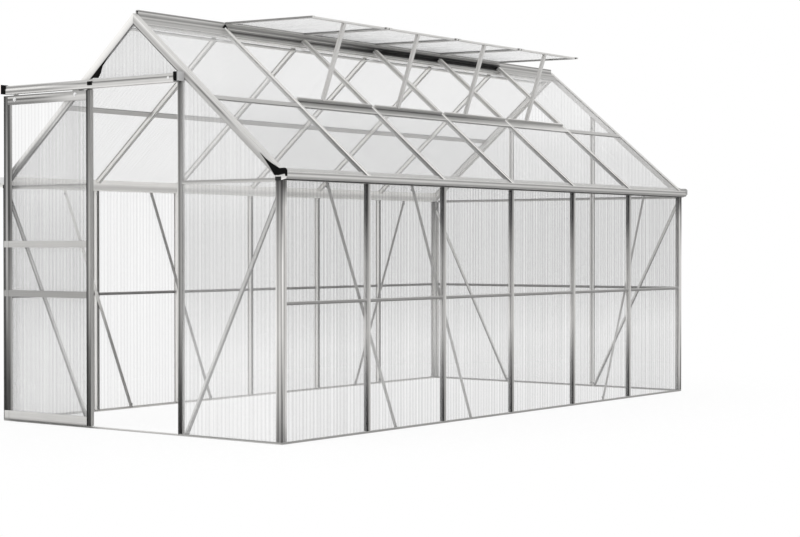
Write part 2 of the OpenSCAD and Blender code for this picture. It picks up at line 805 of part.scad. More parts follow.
module vent_frame(k) bar_colour()
    on_vent(k) {
        front_half = vent_w / 2 - vent_bar_w - seat;
        translate([0, vent_w / 2, 0]) rotate([90, 0, 0]) linear_extrude(vent_w) vent_profile();
        translate([vent_len, front_half, 0])
            mirror([1, 0, 0])
                rotate([90, 0, 0])
                    linear_extrude(2 * front_half)
                        vent_profile();
        for (side = [0, 1])
            mirror([0, side, 0])
                translate([0, -vent_w / 2, 0])
                    along(vent_bar_w + seat, vent_len + vent_horn) vent_profile();
    }

module vent_frame_1() vent_frame(1);
module vent_frame_2() vent_frame(2);
module vent_frame_3() vent_frame(3);
module vent_frame_4() vent_frame(4);

module vent_panels() sheet_colour()
    for (k = [1:vents])
        on_vent(k) {
            rim = vent_bar_w - slot_end + edge_gap;
            translate([rim, rim - vent_w / 2, -sheet_t / 2])
                cube([vent_len - 2 * rim, vent_w - 2 * rim, sheet_t]);
        }

// Angle that props vent k, standing on the sill's upstand and cut to fit under the vent's front bar
module vent_stay(k) {
    foot = up_slope(sill_s + sill_w - 3.5, sill_up);
    dx = vent_x + (vent_len - vent_bar_w / 2) * cos(vent_angle) - foot[0];
    dy = stay_foot - stay_head;
    dz = vent_z + vent_len * sin(vent_angle) - foot[1];
    stay_len = norm([dx, dy, dz]);
    far = 60;
    difference() {
        translate([foot[0] + stay_leg / 2, shift_y + vent_middle(k) - stay_foot - stay_leg / 2, foot[1]])
            rotate([0, atan2(dx, dz), 0])
                rotate([-asin(dy / stay_len), 0, 0])
                    translate([0, 0, -far])
                        linear_extrude(stay_len + 2 * far)
                            polygon([
                                [0, 0], [-stay_leg, 0], [-stay_leg, stay_t], [-stay_t, stay_t],
                                [-stay_t, stay_leg], [0, stay_leg]
                            ]);
        on_right()
            on_slope()
                translate([-length, -width, 0]) cube([2 * length, width + sill_up + seat, slope_len]);
        on_vent(k) translate([-width, -width, -vent_bar_h / 2 - seat]) cube([2 * width, 2 * width, width]);
    }
}

module vent_stays() bar_colour()
    for (k = [1:vents]) vent_stay(k);

// ---------- braces ----------
module brace_plate(outline) plate(-bar_d - seat, brace_t) polygon(outline);

// Strip of a long wall, drawn on its face: from its foot, past a post, to the eave beam
module wall_brace(place) {
    foot_x = station(place[0]) + place[1] * place[3];
    head_x = station(place[0]) - place[1] * place[2];
    foot_z = flange_t + seat;
    half = brace_w / 2 / cos(atan2(place[2] + place[3], post_top - foot_z));
    brace_plate([
        [foot_x - half, foot_z], [foot_x + half, foot_z], [head_x + half, post_top],
        [head_x - half, post_top]
    ]);
}

module wall_braces() color([0.62, 0.62, 0.60]) {
    on_right()
        for (place = braces_right) wall_brace(place);
    on_left()
        for (place = braces_left) wall_brace(place);
}

// Strip of a gable, from the foot of a gable post to the side of the corner post
module gable_brace(dir, strip_w) {
    foot_x = gable_bay / 2 + 20;
    head_x = width / 2 - corner_tube - seat;
    foot_z = flange_t + seat;
    rise = (gable_brace_top - foot_z) / (head_x - foot_x);
    half = strip_w / 2 / sin(atan(rise));
    mirror([dir, 0, 0])
        brace_plate([
            [foot_x - half, foot_z], [foot_x + half, foot_z],
            [head_x, gable_brace_top - rise * half], [head_x, gable_brace_top + rise * half]
        ]);
}

module gable_braces() color([0.62, 0.62, 0.60])
    for (dir = [0, 1]) {
        on_front() gable_brace(dir, front_brace_w);
        on_rear() gable_brace(dir, brace_w);
    }

// ---------- sheets ----------
module wall_panels()
    for (k = [0:bays_long - 1]) {
        x0 = bay_from(k, station(k), corner_edge, neck_edge, length / 2);
        x1 = bay_to(k, bays_long, station(k + 1), corner_edge, neck_edge, length / 2);
        sheet_box(x0, x1, wall_low, mid_rail_z - rail_edge);
        sheet_box(x0, x1, mid_rail_z + rail_edge, wall_top);
    }

module wall_panels_right() sheet_colour() on_right() wall_panels();
module wall_panels_left() sheet_colour() on_left() wall_panels();

// Sheet over a side bay of a gable, between the cross rail, the gable post and the rafter
module gable_wedge(dir) {
    x0 = gable_bay / 2 + neck_edge;
    x1 = width / 2 - eave_d - edge_gap - 1;
    z0 = cross_z + rail_edge;
    mirror([dir, 0, 0])
        sheet([[x0, z0], [x1, z0], [x1, roof_z(x1, gable_edge)], [x0, roof_z(x0, gable_edge)]]);
}

// Sheet over the middle bay of a gable, from z0 to the apex
module gable_peak(z0) {
    x1 = gable_bay / 2 - neck_edge;
    side = roof_z(x1, gable_edge);
    sheet([[-x1, z0], [x1, z0], [x1, side], [0, roof_z(0, gable_edge)], [-x1, side]]);
}

// Ends of the sheets across bay k of a gable
function gable_x0(k) = bay_from(k, gable_station(k), corner_edge, neck_edge, width / 2);
function gable_x1(k) = bay_to(k, bays_gable, gable_station(k + 1), corner_edge, neck_edge, width / 2);

module gable_panels_front() sheet_colour()
    on_front() {
        for (k = [0, bays_gable - 1]) sheet_box(gable_x0(k), gable_x1(k), wall_low, cross_z - rail_edge);
        for (dir = [0, 1]) gable_wedge(dir);
        gable_peak(header_z + rail_edge);
    }

module gable_panels_rear() sheet_colour()
    on_rear() {
        for (k = [0:bays_gable - 1]) {
            sheet_box(gable_x0(k), gable_x1(k), wall_low, mid_rail_z - rail_edge);
            sheet_box(gable_x0(k), gable_x1(k), mid_rail_z + rail_edge, cross_z - rail_edge);
        }
        for (dir = [0, 1]) gable_wedge(dir);
        gable_peak(cross_z + rail_edge);
    }

// Sheet of a roof bay, from s0 to s1 up the slope
module roof_sheet(k, s0, s1)
    sheet_box(
        bay_from(k, station(k), roof_edge, neck_edge, length / 2),
        bay_to(k, bays_long, station(k + 1), roof_edge, neck_edge, length / 2),
        s0, s1
    );

module full_roof_bay(k) {
    roof_sheet(k, -sheet_over, purlin_s - rail_edge);
    roof_sheet(k, purlin_s + rail_edge, sheet_top);
}

module roof_panels_right() sheet_colour()
    on_right()
        on_slope() {
            for (k = [0:bays_long - 1])
                if (k < first_vent || k > last_vent) full_roof_bay(k);
            for (k = [first_vent:last_vent]) roof_sheet(k, -sheet_over, sill_s + sill_bite - edge_gap);
        }

module roof_panels_left() sheet_colour()
    on_left()
        on_slope()
            for (k = [0:bays_long - 1]) full_roof_bay(k);

// ---------- sliding door ----------
module door_track() color([0.86, 0.85, 0.82]) on_front() along(-track_right, -track_left) track_profile();

// End block of the track with its plug, drawn on the gable's face from the track's end outwards
module track_block(dir, plug, outline) {
    inner_y = track_t + 2 * seat;
    plug_y = track_d - track_step - track_t - seat;
    depth = track_d + 1.5;
    translate([dir > 0 ? -track_left : -track_right, 0, 0])
        mirror([dir > 0 ? 0 : 1, 0, 0]) {
            plate(depth, depth - seat) polygon(outline);
            along(-plug, seat + 1)
                translate([inner_y, track_top - track_t - seat - 14]) square([plug_y - inner_y, 14]);
        }
}

// Block on the track's front, over the left door post
module track_clip() {
    face = track_d - track_step + seat;
    back = track_d + seat;
    along(clip_x, clip_x + 32)
        polygon([
            [back, band_z - 12], [back + clip_t, band_z - 12], [back + clip_t, band_z + 5],
            [back + clip_t - 2, band_z + 7], [face, band_z + 7], [face, band_z + seat],
            [back, band_z + seat]
        ]);
}

module track_fittings() black() on_front() {
    low = track_z + 2;
    high = track_top + 3;
    track_block(1, 12, [
        [seat, low], [block_len, low], [block_len, high + 5], [block_len - 8, high + 5],
        [block_len - 11, high], [seat, high]
    ]);
    track_block(-1, 22, [
        [seat, low + 9], [12, low + 2], [block_len, low + 2], [block_len, high + 3], [seat, high + 3]
    ]);
    track_clip();
}

module door_stiles() color([0.60, 0.59, 0.56])
    on_leaf()
        for (side = [0, 1])
            translate([side * leaf_w, 0, leaf_z])
                mirror([side, 0, 0])
                    linear_extrude(leaf_top - leaf_z)
                        stile_profile();

module leaf_rail(z, height, below)
    along(stile_w + seat, leaf_w - stile_w - seat) translate([0, z]) leaf_rail_profile(height, below);

module door_rails() bar_colour()
    on_leaf() {
        leaf_rail(leaf_z + kick_rail_h / 2, kick_rail_h, false);
        leaf_rail(leaf_rail_low, leaf_rail_h, true);
        leaf_rail(leaf_rail_high, leaf_rail_h, true);
        along(stile_w + seat, leaf_w - stile_w - seat) top_rail_profile();
    }

module door_panels() sheet_colour()
    on_leaf() {
        x0 = stile_w - slot_end + edge_gap;
        lift = leaf_rail_h / 2 - slot_end + edge_gap;
        sheet_box(x0, leaf_w - x0, leaf_z + kick_rail_h - slot_end + edge_gap, leaf_rail_low - lift);
        sheet_box(x0, leaf_w - x0, leaf_rail_low + lift, leaf_rail_high - lift);
        sheet_box(x0, leaf_w - x0, leaf_rail_high + lift, leaf_top - top_rail_h + slot_end - edge_gap);
    }

// Places of the two hangers, with the roller's axle along Y through the origin
module at_hangers()
    on_leaf()
        for (x = [hanger_lead, leaf_w - hanger_trail])
            translate([x, 0, roller_z]) children();

// Hanger plate in the top rail's channel, with the roller's axle, its collar and its nut
module hanger_plate() {
    eye = 12;
    difference() {
        plate((hanger_t - leaf_d) / 2, hanger_t) union() {
            polygon([
                [-hanger_w / 2, hanger_foot - roller_z], [hanger_w / 2, hanger_foot - roller_z],
                [hanger_w / 2, leaf_top + 3 - roller_z], [eye - 1, 0], [1 - eye, 0],
                [-hanger_w / 2, leaf_top + 3 - roller_z]
            ]);
            circle(eye);
        }
        translate([0, 1, 0]) rotate([90, 0, 0]) cylinder(h = leaf_d, r = axle_r + seat);
    }
}

// Turns a profile drawn as (radius, outwards) about the axle, from the leaf's front face inwards
module turned() rotate([-90, 0, 0]) rotate_extrude() children();

module axle() {
    plate_front = (hanger_t - leaf_d) / 2;
    plate_back = plate_front - hanger_t;
    roller_back = plate_back - roller_gap - roller_w;
    turned()
        polygon([
            [0, roller_back + 0.5], [axle_r, roller_back + 0.5], [axle_r, plate_back - roller_gap + seat],
            [axle_r + 2, plate_back - roller_gap + seat], [axle_r + 2, plate_back - seat],
            [axle_r, plate_back - seat], [axle_r, plate_front + seat], [axle_r + 2.5, plate_front + seat],
            [axle_r + 2.5, plate_front + 3.5], [0, plate_front + 3.5]
        ]);
}

module door_hangers() color([0.78, 0.78, 0.76])
    at_hangers() {
        hanger_plate();
        axle();
    }

// Roller with a groove that rides on the track's lip
module roller() {
    mid = roller_y - leaf_front;
    rim = roller_r + roller_flange;
    groove = lip_t / 2 + 0.5;
    half = roller_w / 2;
    turned()
        polygon([
            [axle_r + 0.2, mid - half], [rim, mid - half], [rim, mid - groove - 0.6],
            [roller_r, mid - groove], [roller_r, mid + groove], [rim, mid + groove + 0.6],
            [rim, mid + half], [axle_r + 0.2, mid + half]
        ]);
}

module door_rollers() color([0.15, 0.15, 0.15]) at_hangers() roller();

base_rails_long();
base_rails_gable();
door_threshold();
corner_posts();
side_posts_right();
side_posts_left();
door_posts();
rear_gable_posts();
gutter_right();
gutter_left();
gutter_caps_front();
gutter_caps_rear();
mid_rails_long();
mid_rails_rear();
cross_rails();
door_header();
gable_rafters_front();
gable_rafters_rear();
roof_bars_right();
roof_bars_left();
ridge_beam();
purlins();
vent_sills();
vent_frame_1();
vent_frame_2();
vent_frame_3();
vent_frame_4();
vent_panels();
vent_stays();
wall_braces();
gable_braces();
wall_panels_right();
wall_panels_left();
gable_panels_front();
gable_panels_rear();
roof_panels_right();
roof_panels_left();
door_track();
track_fittings();
door_stiles();
door_rails();
door_panels();
door_hangers();
door_rollers();
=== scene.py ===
"""Finish and small fittings of a walk-in greenhouse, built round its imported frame.

X runs across the gable, Y along the ridge with the door gable at -Y, and Z is up, in metres.
"""

import math

import bpy
from bpy.props import FloatProperty, FloatVectorProperty, PointerProperty
from mathutils import Matrix, Vector


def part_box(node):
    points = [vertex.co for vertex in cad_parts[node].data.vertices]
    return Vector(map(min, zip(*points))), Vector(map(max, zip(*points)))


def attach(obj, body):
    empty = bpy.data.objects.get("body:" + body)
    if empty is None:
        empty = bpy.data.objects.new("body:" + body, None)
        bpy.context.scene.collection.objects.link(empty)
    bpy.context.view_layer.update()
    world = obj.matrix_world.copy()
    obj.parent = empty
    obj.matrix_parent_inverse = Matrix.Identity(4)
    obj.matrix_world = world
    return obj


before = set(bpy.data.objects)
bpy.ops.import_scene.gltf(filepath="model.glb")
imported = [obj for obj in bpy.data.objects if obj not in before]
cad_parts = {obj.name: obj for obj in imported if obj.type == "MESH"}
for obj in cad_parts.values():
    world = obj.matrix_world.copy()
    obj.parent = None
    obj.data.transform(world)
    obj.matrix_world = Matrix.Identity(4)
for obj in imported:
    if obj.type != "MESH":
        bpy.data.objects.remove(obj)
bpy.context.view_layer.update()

bl_info = {
    "name": "Greenhouse finish",
    "version": (1, 0, 0),
    "blender": (4, 5, 0),
    "location": "3D View > Sidebar > Greenhouse",
    "description": "Finishes, sheet ribs and fittings of a glazed garden house",
    "category": "Object",
}

# ---------- sizes, a few read from the frame ---
MM = 0.001
HOUSE = "house"
DOOR = "sliding_door"

WALL_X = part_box("base_rails_long")[1].x
gable_low, gable_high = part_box("base_rails_gable")
RIDGE_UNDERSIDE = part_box("ridge_beam")[0].z
LEAF_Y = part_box("door_stiles")[0].y
TRACK_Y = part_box("door_track")[0].y

FRONT_Y = gable_low.y
REAR_Y = gable_high.y
MIDDLE_Y = (FRONT_Y + REAR_Y) / 2
BAR_W = 28 * MM
BAYS = 6
BAY = (REAR_Y - FRONT_Y - BAR_W) / BAYS
GABLE_BAY = (2 * WALL_X - BAR_W) / 3
EAVE_Z = 1.247
RIDGE_Z = 2.035
PITCH = math.atan2(RIDGE_Z - EAVE_Z, WALL_X)
SLOPE_LEN = WALL_X / math.cos(PITCH)
RAIL_Z = 642 * MM
METALLIC = 0.35
ACROSS_RUN, ALONG_RUN = 170, 3
DULL_PATCH = (7, 7, 7)
STILE_X = -283 * MM
STILE_PITCH = 611 * MM
WEB_X = 9 * MM
FLUTE = 11.4 * MM
EDGE_REACH = RIDGE_Z * math.cos(PITCH)
BRACE_HEAD_X = 922.7 * MM
BRACE_HEAD_Z = 1150 * MM
BRACE_RUN = 600 * MM
BRACE_RISE = 1140 * MM
BRACE_T, BRACE_END, BOLT_IN = 5 * MM, 50 * MM, 20 * MM
WEB_PITCH = 25 * MM
WAVER = 3 * MM
STRIPE_DEPTH = 0.65
MEAN_CLEAR = 0.62
CLAMP_X = 331 * MM
CLAMP_END = 342 * MM
BLACK = 0.002
PLASTIC_GRAIN, PLASTIC_PATCH, STEEL_PATCH = (900, 900, 900), (25, 25, 25), (300, 300, 300)
REAR_RAFTER = 0.75
LEFT_CORNER_SHADE = 0.35
REAR_CORNER_SHADE = 1.4
PALE_CAP = 0.7
BULB_X = 17 * MM
BULB_TOP = 1991 * MM
BAR_D = 20 * MM
CORNER_W = 36 * MM
RAFTER_D = 41 * MM
BASE_BOLT_Z = 26 * MM
EAVE_BOLT_Z = 1190 * MM
HEAD_BOLT_Z = 1660 * MM
LEAF_LEFT = -909 * MM
STILE_W = 30 * MM
LEAF_LAPS = ((14 * MM, 59 * MM), (645.5 * MM, 678.5 * MM), (897.5 * MM, 930.5 * MM))
DOOR_BOLTS = ((-825.5 * MM, 1654 * MM), (-376.8 * MM, 1658 * MM))
TRACK_BOLT_X = 272 * MM
TRACK_BOLT_Z = 1704 * MM
# Lower edges of the black wedges that stand in for the painted shade under the front rafters' feet
LEFT_SHADE_WEDGE = (
    (-0.294, 1.7365), (-0.243, 1.7345), (-0.2266, 1.757), (-0.2126, 1.791), (-0.19, 1.819), (-0.155, 1.8525),
)
RIGHT_SHADE_WEDGE = ((0.3265, 1.692), (0.334, 1.694), (0.344, 1.6965))
CLIP_Y = -1.2405
CLIP_Z = 2.0133
CLIP_HALF = 20 * MM
CLIP_TURN = 42
TIE_Z = RIDGE_UNDERSIDE - 12 * MM
STRIP_FROM = 85 * MM
STRIP_TO = 104 * MM
STRIP_DEPTH = 9.5 * MM
SLOPE_START = -WALL_X * math.cos(PITCH) + EAVE_Z * math.sin(PITCH)
VENT_FRAMES = ["vent_frame_1", "vent_frame_2", "vent_frame_3", "vent_frame_4"]

X, Y, Z = (1, 0, 0), (0, 1, 0), (0, 0, 1)
FRONT = (0, -1, 0)
RIGHT_SLOPE = (math.sin(PITCH), 0, math.cos(PITCH))
LEFT_SLOPE = (-math.sin(PITCH), 0, math.cos(PITCH))
UP_RIGHT = (-math.cos(PITCH), 0, math.sin(PITCH))


def station(k):
    """Place along Y of the long walls' bar k; the first and last stand at the corners."""
    return FRONT_Y + BAR_W / 2 + k * BAY


def on_slope(side, up, out):
    """X and Z of a point of one roof slope, up from the eave line and out of the roof."""
    x = WALL_X - up * math.cos(PITCH) + out * math.sin(PITCH)
    z = EAVE_Z + up * math.sin(PITCH) + out * math.cos(PITCH)
    return side * x, z


# ---------- node helpers ----------
class Recipe:
    """One procedural material, put together node by node."""

    def __init__(self, name):
        self.material = bpy.data.materials.new(name)
        self.material.use_nodes = True
        self.tree = self.material.node_tree
        self.shader = self.tree.nodes["Principled BSDF"]
        coordinates = self.node("ShaderNodeTexCoord")
        self.spot = coordinates.outputs["Object"]
        self.normal = coordinates.outputs["Normal"]

    def node(self, kind, **settings):
        made = self.tree.nodes.new(kind)
        for name, value in settings.items():
            setattr(made, name, value)
        return made

    def feed(self, socket, value):
        """Joins a socket to another, or sets its own value."""
        if isinstance(value, bpy.types.NodeSocket):
            self.tree.links.new(value, socket)
        elif value is not None:
            socket.default_value = value

    def maths(self, operation, first, second=None, third=None):
        made = self.node("ShaderNodeMath", operation=operation)
        for socket, value in zip(made.inputs, (first, second, third)):
            self.feed(socket, value)
        return made.outputs[0]

    def split(self, vector=None):
        """X, Y and Z of a vector, or of the place."""
        made = self.node("ShaderNodeSeparateXYZ")
        self.feed(made.inputs[0], self.spot if vector is None else vector)
        return made.outputs

    def measure(self, vector, direction):
        """Length of a vector along a direction."""
        made = self.node("ShaderNodeVectorMath", operation="DOT_PRODUCT")
        self.feed(made.inputs[0], vector)
        made.inputs[1].default_value = direction
        return made.outputs["Value"]

    def over(self, value, limit):
        return self.maths("GREATER_THAN", value, limit)

    def under(self, value, limit):
        return self.maths("LESS_THAN", value, limit)

    def ramp(self, value, low, high, stops):
        """Colour or grey along stops (share, tone), from low to high."""
        spread = self.node("ShaderNodeMapRange")
        self.feed(spread.inputs["Value"], value)
        spread.inputs["From Min"].default_value = low
        spread.inputs["From Max"].default_value = high
        made = self.node("ShaderNodeValToRGB")
        self.feed(made.inputs[0], spread.outputs[0])
        marks = made.color_ramp.elements
        while len(marks) > 1:
            marks.remove(marks[-1])
        for k, (share, tone) in enumerate(stops):
            mark = marks[0] if k == 0 else marks.new(share)
            mark.position = share
            mark.color = rgba(tone)
        return made.outputs[0]

    def fade(self, distance, marks, unit=1):
        """Tones or shares along a length, from marks of (metres, tone)."""
        low, high = marks[0][0], marks[-1][0]
        stops = [((at - low) / (high - low), tone) for at, tone in marks]
        return self.ramp(distance, low * unit, high * unit, stops)

    def bands(self, distance, marks):
        """Tones across a face, from marks of (millimetres, tone)."""
        return self.fade(distance, marks, MM)

    def sided(self):
        """Place and normal with the left half turned over onto the right one."""
        side = self.maths("SIGN", self.split()[0])
        folded = []
        for vector in (self.spot, self.normal):
            x, y, z = self.split(vector)
            joined = self.node("ShaderNodeCombineXYZ")
            for socket, value in zip(joined.inputs, (self.maths("MULTIPLY", x, side), y, z)):
                self.feed(socket, value)
            folded.append(joined.outputs[0])
        return folded

    def mix(self, share, first, second, blend="MIX"):
        made = self.node("ShaderNodeMix", data_type="RGBA", blend_type=blend)
        self.feed(made.inputs[0], share)
        for socket, value in ((made.inputs[6], first), (made.inputs[7], second)):
            self.feed(socket, value if isinstance(value, bpy.types.NodeSocket) else rgba(value))
        return made.outputs[2]

    def times(self, first, second):
        return self.mix(1, first, second, "MULTIPLY")

    def noise(self, scale, detail, rough=0.6, turn=(0, 0, 0)):
        """Noise in object coordinates, scaled per axis after a turn."""
        stretched = self.node("ShaderNodeMapping", vector_type="TEXTURE")
        self.feed(stretched.inputs[0], self.spot)
        stretched.inputs["Rotation"].default_value = turn
        stretched.inputs["Scale"].default_value = [1 / s for s in scale]
        made = self.node("ShaderNodeTexNoise")
        self.feed(made.inputs["Vector"], stretched.outputs[0])
        made.inputs["Scale"].default_value = 1
        made.inputs["Detail"].default_value = detail
        made.inputs["Roughness"].default_value = rough
        return made.outputs[0]

    def bump(self, height, depth, strength):
        made = self.node("ShaderNodeBump")
        made.inputs["Strength"].default_value = strength
        made.inputs["Distance"].default_value = depth
        self.feed(made.inputs["Height"], height)
        return made.outputs[0]

    def finish(self, colour, roughness, normal=None, metallic=None, alpha=None, specular=None):
        """Feeds the shader and hands over the material."""
        names = ("Base Color", "Roughness", "Normal", "Metallic", "Alpha", "Specular IOR Level")
        for name, value in zip(names, (colour, roughness, normal, metallic, alpha, specular)):
            self.feed(self.shader.inputs[name], value)
        return self.material


def rgba(tone):
    """A grey, or a colour of three numbers, as four."""
    if isinstance(tone, (int, float)):
        return (tone, tone, tone, 1)
    return (*tuple(tone)[:3], 1)


def paint(nodes, material):
    """Gives CAD nodes one material."""
    for name in nodes:
        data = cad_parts[name].data
        data.materials.clear()
        data.materials.append(material)


# ---------- finishes ----------
def bar_finish(name, look, across, outward, middle=0, pitch=None, mirror=False, shine=0):
    """Extruded aluminium whose faces take painted reflections and shade, as lines and bands across each bar.

    across and outward are directions. look holds the painted bands of reflection and shade on the
    outer and inner faces, from the bar's middle, and the painted shade of the two side faces, each
    as it is turned to the light. With a pitch, the bars stand in a row. shine adds metal to the faces
    that look inwards.
    """
    r = Recipe(name)
    run = Vector(across).cross(Vector(outward))
    place, normal = r.sided() if mirror else (r.spot, r.normal)
    height = r.split(place)[2]
    distance = r.maths("SUBTRACT", r.measure(place, across), middle)
    if pitch:
        distance = r.maths("WRAP", distance, pitch / 2, -pitch / 2)
    facing = r.measure(normal, outward)
    sideways = r.measure(normal, across)
    # Painted reflections and shade: bands across the faces, painted shade by height, a trim band and other
    # bands along the run
    outer = r.bands(distance, look["outer"])
    if "level" in look:
        outer = r.times(outer, r.fade(height, look["level"]))
    if "trim" in look:
        outer = r.mix(r.bands(distance, look["trim"]), outer, look["trim_tone"])
    if "other" in look:
        share = r.fade(r.measure(place, run), look["other_share"])
        outer = r.mix(share, outer, r.bands(distance, look["other"]))
    colour = r.mix(r.over(facing, 0.5), r.bands(distance, look["inner"]), outer)
    # Painted shade on the two side faces, each by how it is turned to the light
    colour = r.mix(r.over(sideways, 0.7), colour, look["high_side_shade"])
    low_side_shade = look["low_side_shade"]
    if isinstance(low_side_shade, list):
        low_side_shade = r.fade(height, low_side_shade)
    colour = r.mix(r.under(sideways, -0.7), colour, low_side_shade)
    metallic = METALLIC
    if shine:
        metallic = r.maths("MULTIPLY_ADD", r.under(facing, 0.5), shine, METALLIC)
    return aluminium_surface(r, colour, run, metallic)


def aluminium_surface(r, colour, run, metallic=METALLIC):
    """Adds drawn streaks, dull patches and fine lines along a profile's run, and closes the material."""
    run = Vector(run)
    scale = [ACROSS_RUN - (ACROSS_RUN - ALONG_RUN) * abs(run[k]) for k in range(3)]
    turn = (0, 0, 0)
    if abs(run.x) > 0.1 and abs(run.z) > 0.1:
        turn = (0, -math.atan2(run.z, run.x), 0)
        scale = [ALONG_RUN, ACROSS_RUN, ACROSS_RUN]
    streak = r.noise(scale, 2, turn=turn)
    patch = r.noise(DULL_PATCH, 4)
    colour = r.mix(0.16, colour, r.ramp(streak, 0.3, 0.7, [(0, 0.45), (1, 1)]), "MULTIPLY")
    colour = r.mix(0.14, colour, r.ramp(patch, 0.3, 0.75, [(0, 0.55), (1, 1)]), "MULTIPLY")
    colour = r.times(colour, bpy.context.scene.greenhouse_finishes.metal_tint)
    roughness = r.maths("MULTIPLY_ADD", patch, 0.3, 0.3)
    normal = r.bump(streak, 0.4 * MM, 0.35)
    return r.finish(colour, roughness, normal, metallic, specular=0.15)


def faces(outer, inner, low_side_shade, high_side_shade, **more):
    """Look of one kind of bar: the painted reflections and shade of its outer and inner faces, and the
    painted shade of its two sides.
    """
    outer, inner = [face if isinstance(face, list) else [(0, face), (1, face)] for face in (outer, inner)]
    return {"outer": outer, "inner": inner, "low_side_shade": low_side_shade, "high_side_shade": high_side_shade, **more}


# ---------- settings ----------
class GreenhouseFinishes(bpy.types.PropertyGroup):
    """Colours of the greenhouse."""

    metal_tint: FloatVectorProperty(
        name="Aluminium tint", description="Slight warmth of every aluminium face", subtype="COLOR",
        default=(1, 0.988, 0.965), min=0, max=1,
    )
    sheet_colour: FloatVectorProperty(
        name="Sheet", description="Milky tone of the twin-wall sheets", subtype="COLOR",
        default=(0.95, 0.95, 0.95), min=0, max=1,
    )
    sheet_alpha: FloatProperty(
        name="Sheet cover", description="Share of each sheet surface that hides what is behind",
        subtype="FACTOR", default=0.2, min=0, max=1,
    )


class GreenhouseFittings(bpy.types.PropertyGroup):
    """Sizes of the small fittings."""

    small_bolt: FloatProperty(
        name="Frame bolt", description="Radius of the frame's bolt heads", unit="LENGTH",
        default=4.5 * MM, min=1 * MM,
    )
    large_bolt: FloatProperty(
        name="Door bolt", description="Radius of the door's and track's bolt heads", unit="LENGTH",
        default=7.5 * MM, min=1 * MM,
    )


class GreenhouseStage(bpy.types.PropertyGroup):
    """Lights, floor and camera."""

    sky: FloatProperty(name="Sky", description="Strength of the even light from all round", default=1, min=0)
    lamp: FloatProperty(name="Lamp", description="Strength of the soft lamp in front", default=0.35, min=0)
    lens: FloatProperty(name="Lens", description="Focal length in millimetres", default=80.93, min=10)


# ---------- stage ----------
CAMERA_X, CAMERA_BACK, CAMERA_Z = 6.303, 8.094, 0.909
CAMERA_DIP, CAMERA_TURN = 0.744, 37.068
LAMP_SPREAD = 50
LAMP_AIM = (0.35, 0.75, -0.9)
FLOOR_TONE = 0.93
SHADOW_OVAL = (1, 0.6, 0)
SHADOW_FADE = (1.4, 2.6)
PLAIN_NEAR = 0.88


class GREENHOUSE_OT_stage(bpy.types.Operator):
    """Sets the camera, the lamps and the floor"""

    bl_idname = "greenhouse.stage"
    bl_label = "Stage"

    def execute(self, context):
        scene = context.scene
        stage = scene.greenhouse_stage
        scene.view_settings.view_transform = "Standard"
        scene.cycles.transparent_max_bounces = 32
        make_camera(scene, stage.lens)
        make_world(scene, stage.sky)
        make_lamp(stage.lamp)
        make_floor()
        return {"FINISHED"}


def make_camera(scene, lens):
    """A camera at standing height off the front right corner."""
    data = bpy.data.cameras.new("view")
    data.lens = lens
    data.sensor_width = 36
    data.clip_end = 200
    camera = bpy.data.objects.new("view", data)
    camera.location = (CAMERA_X, MIDDLE_Y - CAMERA_BACK, CAMERA_Z)
    camera.rotation_euler = (math.radians(90 - CAMERA_DIP), 0, math.radians(CAMERA_TURN))
    scene.collection.objects.link(camera)
    scene.camera = camera


def make_world(scene, strength):
    """Even light from all round; the view, metal and sheets meet plain white."""
    world = bpy.data.worlds.new("pale room")
    scene.world = world
    world.use_nodes = True
    nodes, links = world.node_tree.nodes, world.node_tree.links
    light = nodes["Background"]
    light.inputs["Strength"].default_value = strength
    white = nodes.new("ShaderNodeBackground")
    for background in (light, white):
        background.inputs["Color"].default_value = rgba(1)
    path = nodes.new("ShaderNodeLightPath")
    seen = path.outputs["Is Camera Ray"]
    for ray in ("Is Glossy Ray", "Is Transmission Ray"):
        either = nodes.new("ShaderNodeMath")
        either.operation = "MAXIMUM"
        links.new(seen, either.inputs[0])
        links.new(path.outputs[ray], either.inputs[1])
        seen = either.outputs[0]
    mixed = nodes.new("ShaderNodeMixShader")
    for source, socket in zip((seen, light.outputs[0], white.outputs[0]), mixed.inputs):
        links.new(source, socket)
    links.new(mixed.outputs[0], nodes["World Output"].inputs["Surface"])


def make_lamp(strength):
    """A wide soft lamp from behind the camera's left shoulder."""
    data = bpy.data.lights.new("soft lamp", "SUN")
    data.energy = strength
    data.angle = math.radians(LAMP_SPREAD)
    lamp = bpy.data.objects.new("soft lamp", data)
    lamp.rotation_euler = Vector(LAMP_AIM).to_track_quat("-Z", "Y").to_euler()
    bpy.context.scene.collection.objects.link(lamp)


def make_floor():
    """A pale floor that keeps the greenhouse's shadow close by and is plain white further off."""
    deselect()
    bpy.ops.mesh.primitive_plane_add(size=80, location=(0, 0, -0.5 * MM))
    floor = bpy.context.object
    floor.name = "floor"
    r = Recipe("pale floor")
    oval = r.node("ShaderNodeVectorMath", operation="MULTIPLY")
    r.feed(oval.inputs[0], r.spot)
    oval.inputs[1].default_value = SHADOW_OVAL
    length = r.node("ShaderNodeVectorMath", operation="LENGTH")
    r.feed(length.inputs[0], oval.outputs[0])
    path = r.node("ShaderNodeLightPath")
    away = r.node("ShaderNodeMapRange", interpolation_type="SMOOTHSTEP")
    r.feed(away.inputs["Value"], length.outputs["Value"])
    away.inputs["From Min"].default_value, away.inputs["From Max"].default_value = SHADOW_FADE
    plain = r.maths("MULTIPLY_ADD", away.outputs[0], 1 - PLAIN_NEAR, PLAIN_NEAR)
    seen = r.maths("MULTIPLY", plain, path.outputs["Is Camera Ray"])
    r.finish(rgba(FLOOR_TONE), 0.9, specular=0)
    white = r.node("ShaderNodeEmission")
    mixed = r.node("ShaderNodeMixShader")
    for socket, value in zip(mixed.inputs, (seen, r.shader.outputs[0], white.outputs[0])):
        r.feed(socket, value)
    r.feed(r.tree.nodes["Material Output"].inputs["Surface"], mixed.outputs[0])
    floor.data.materials.append(r.material)
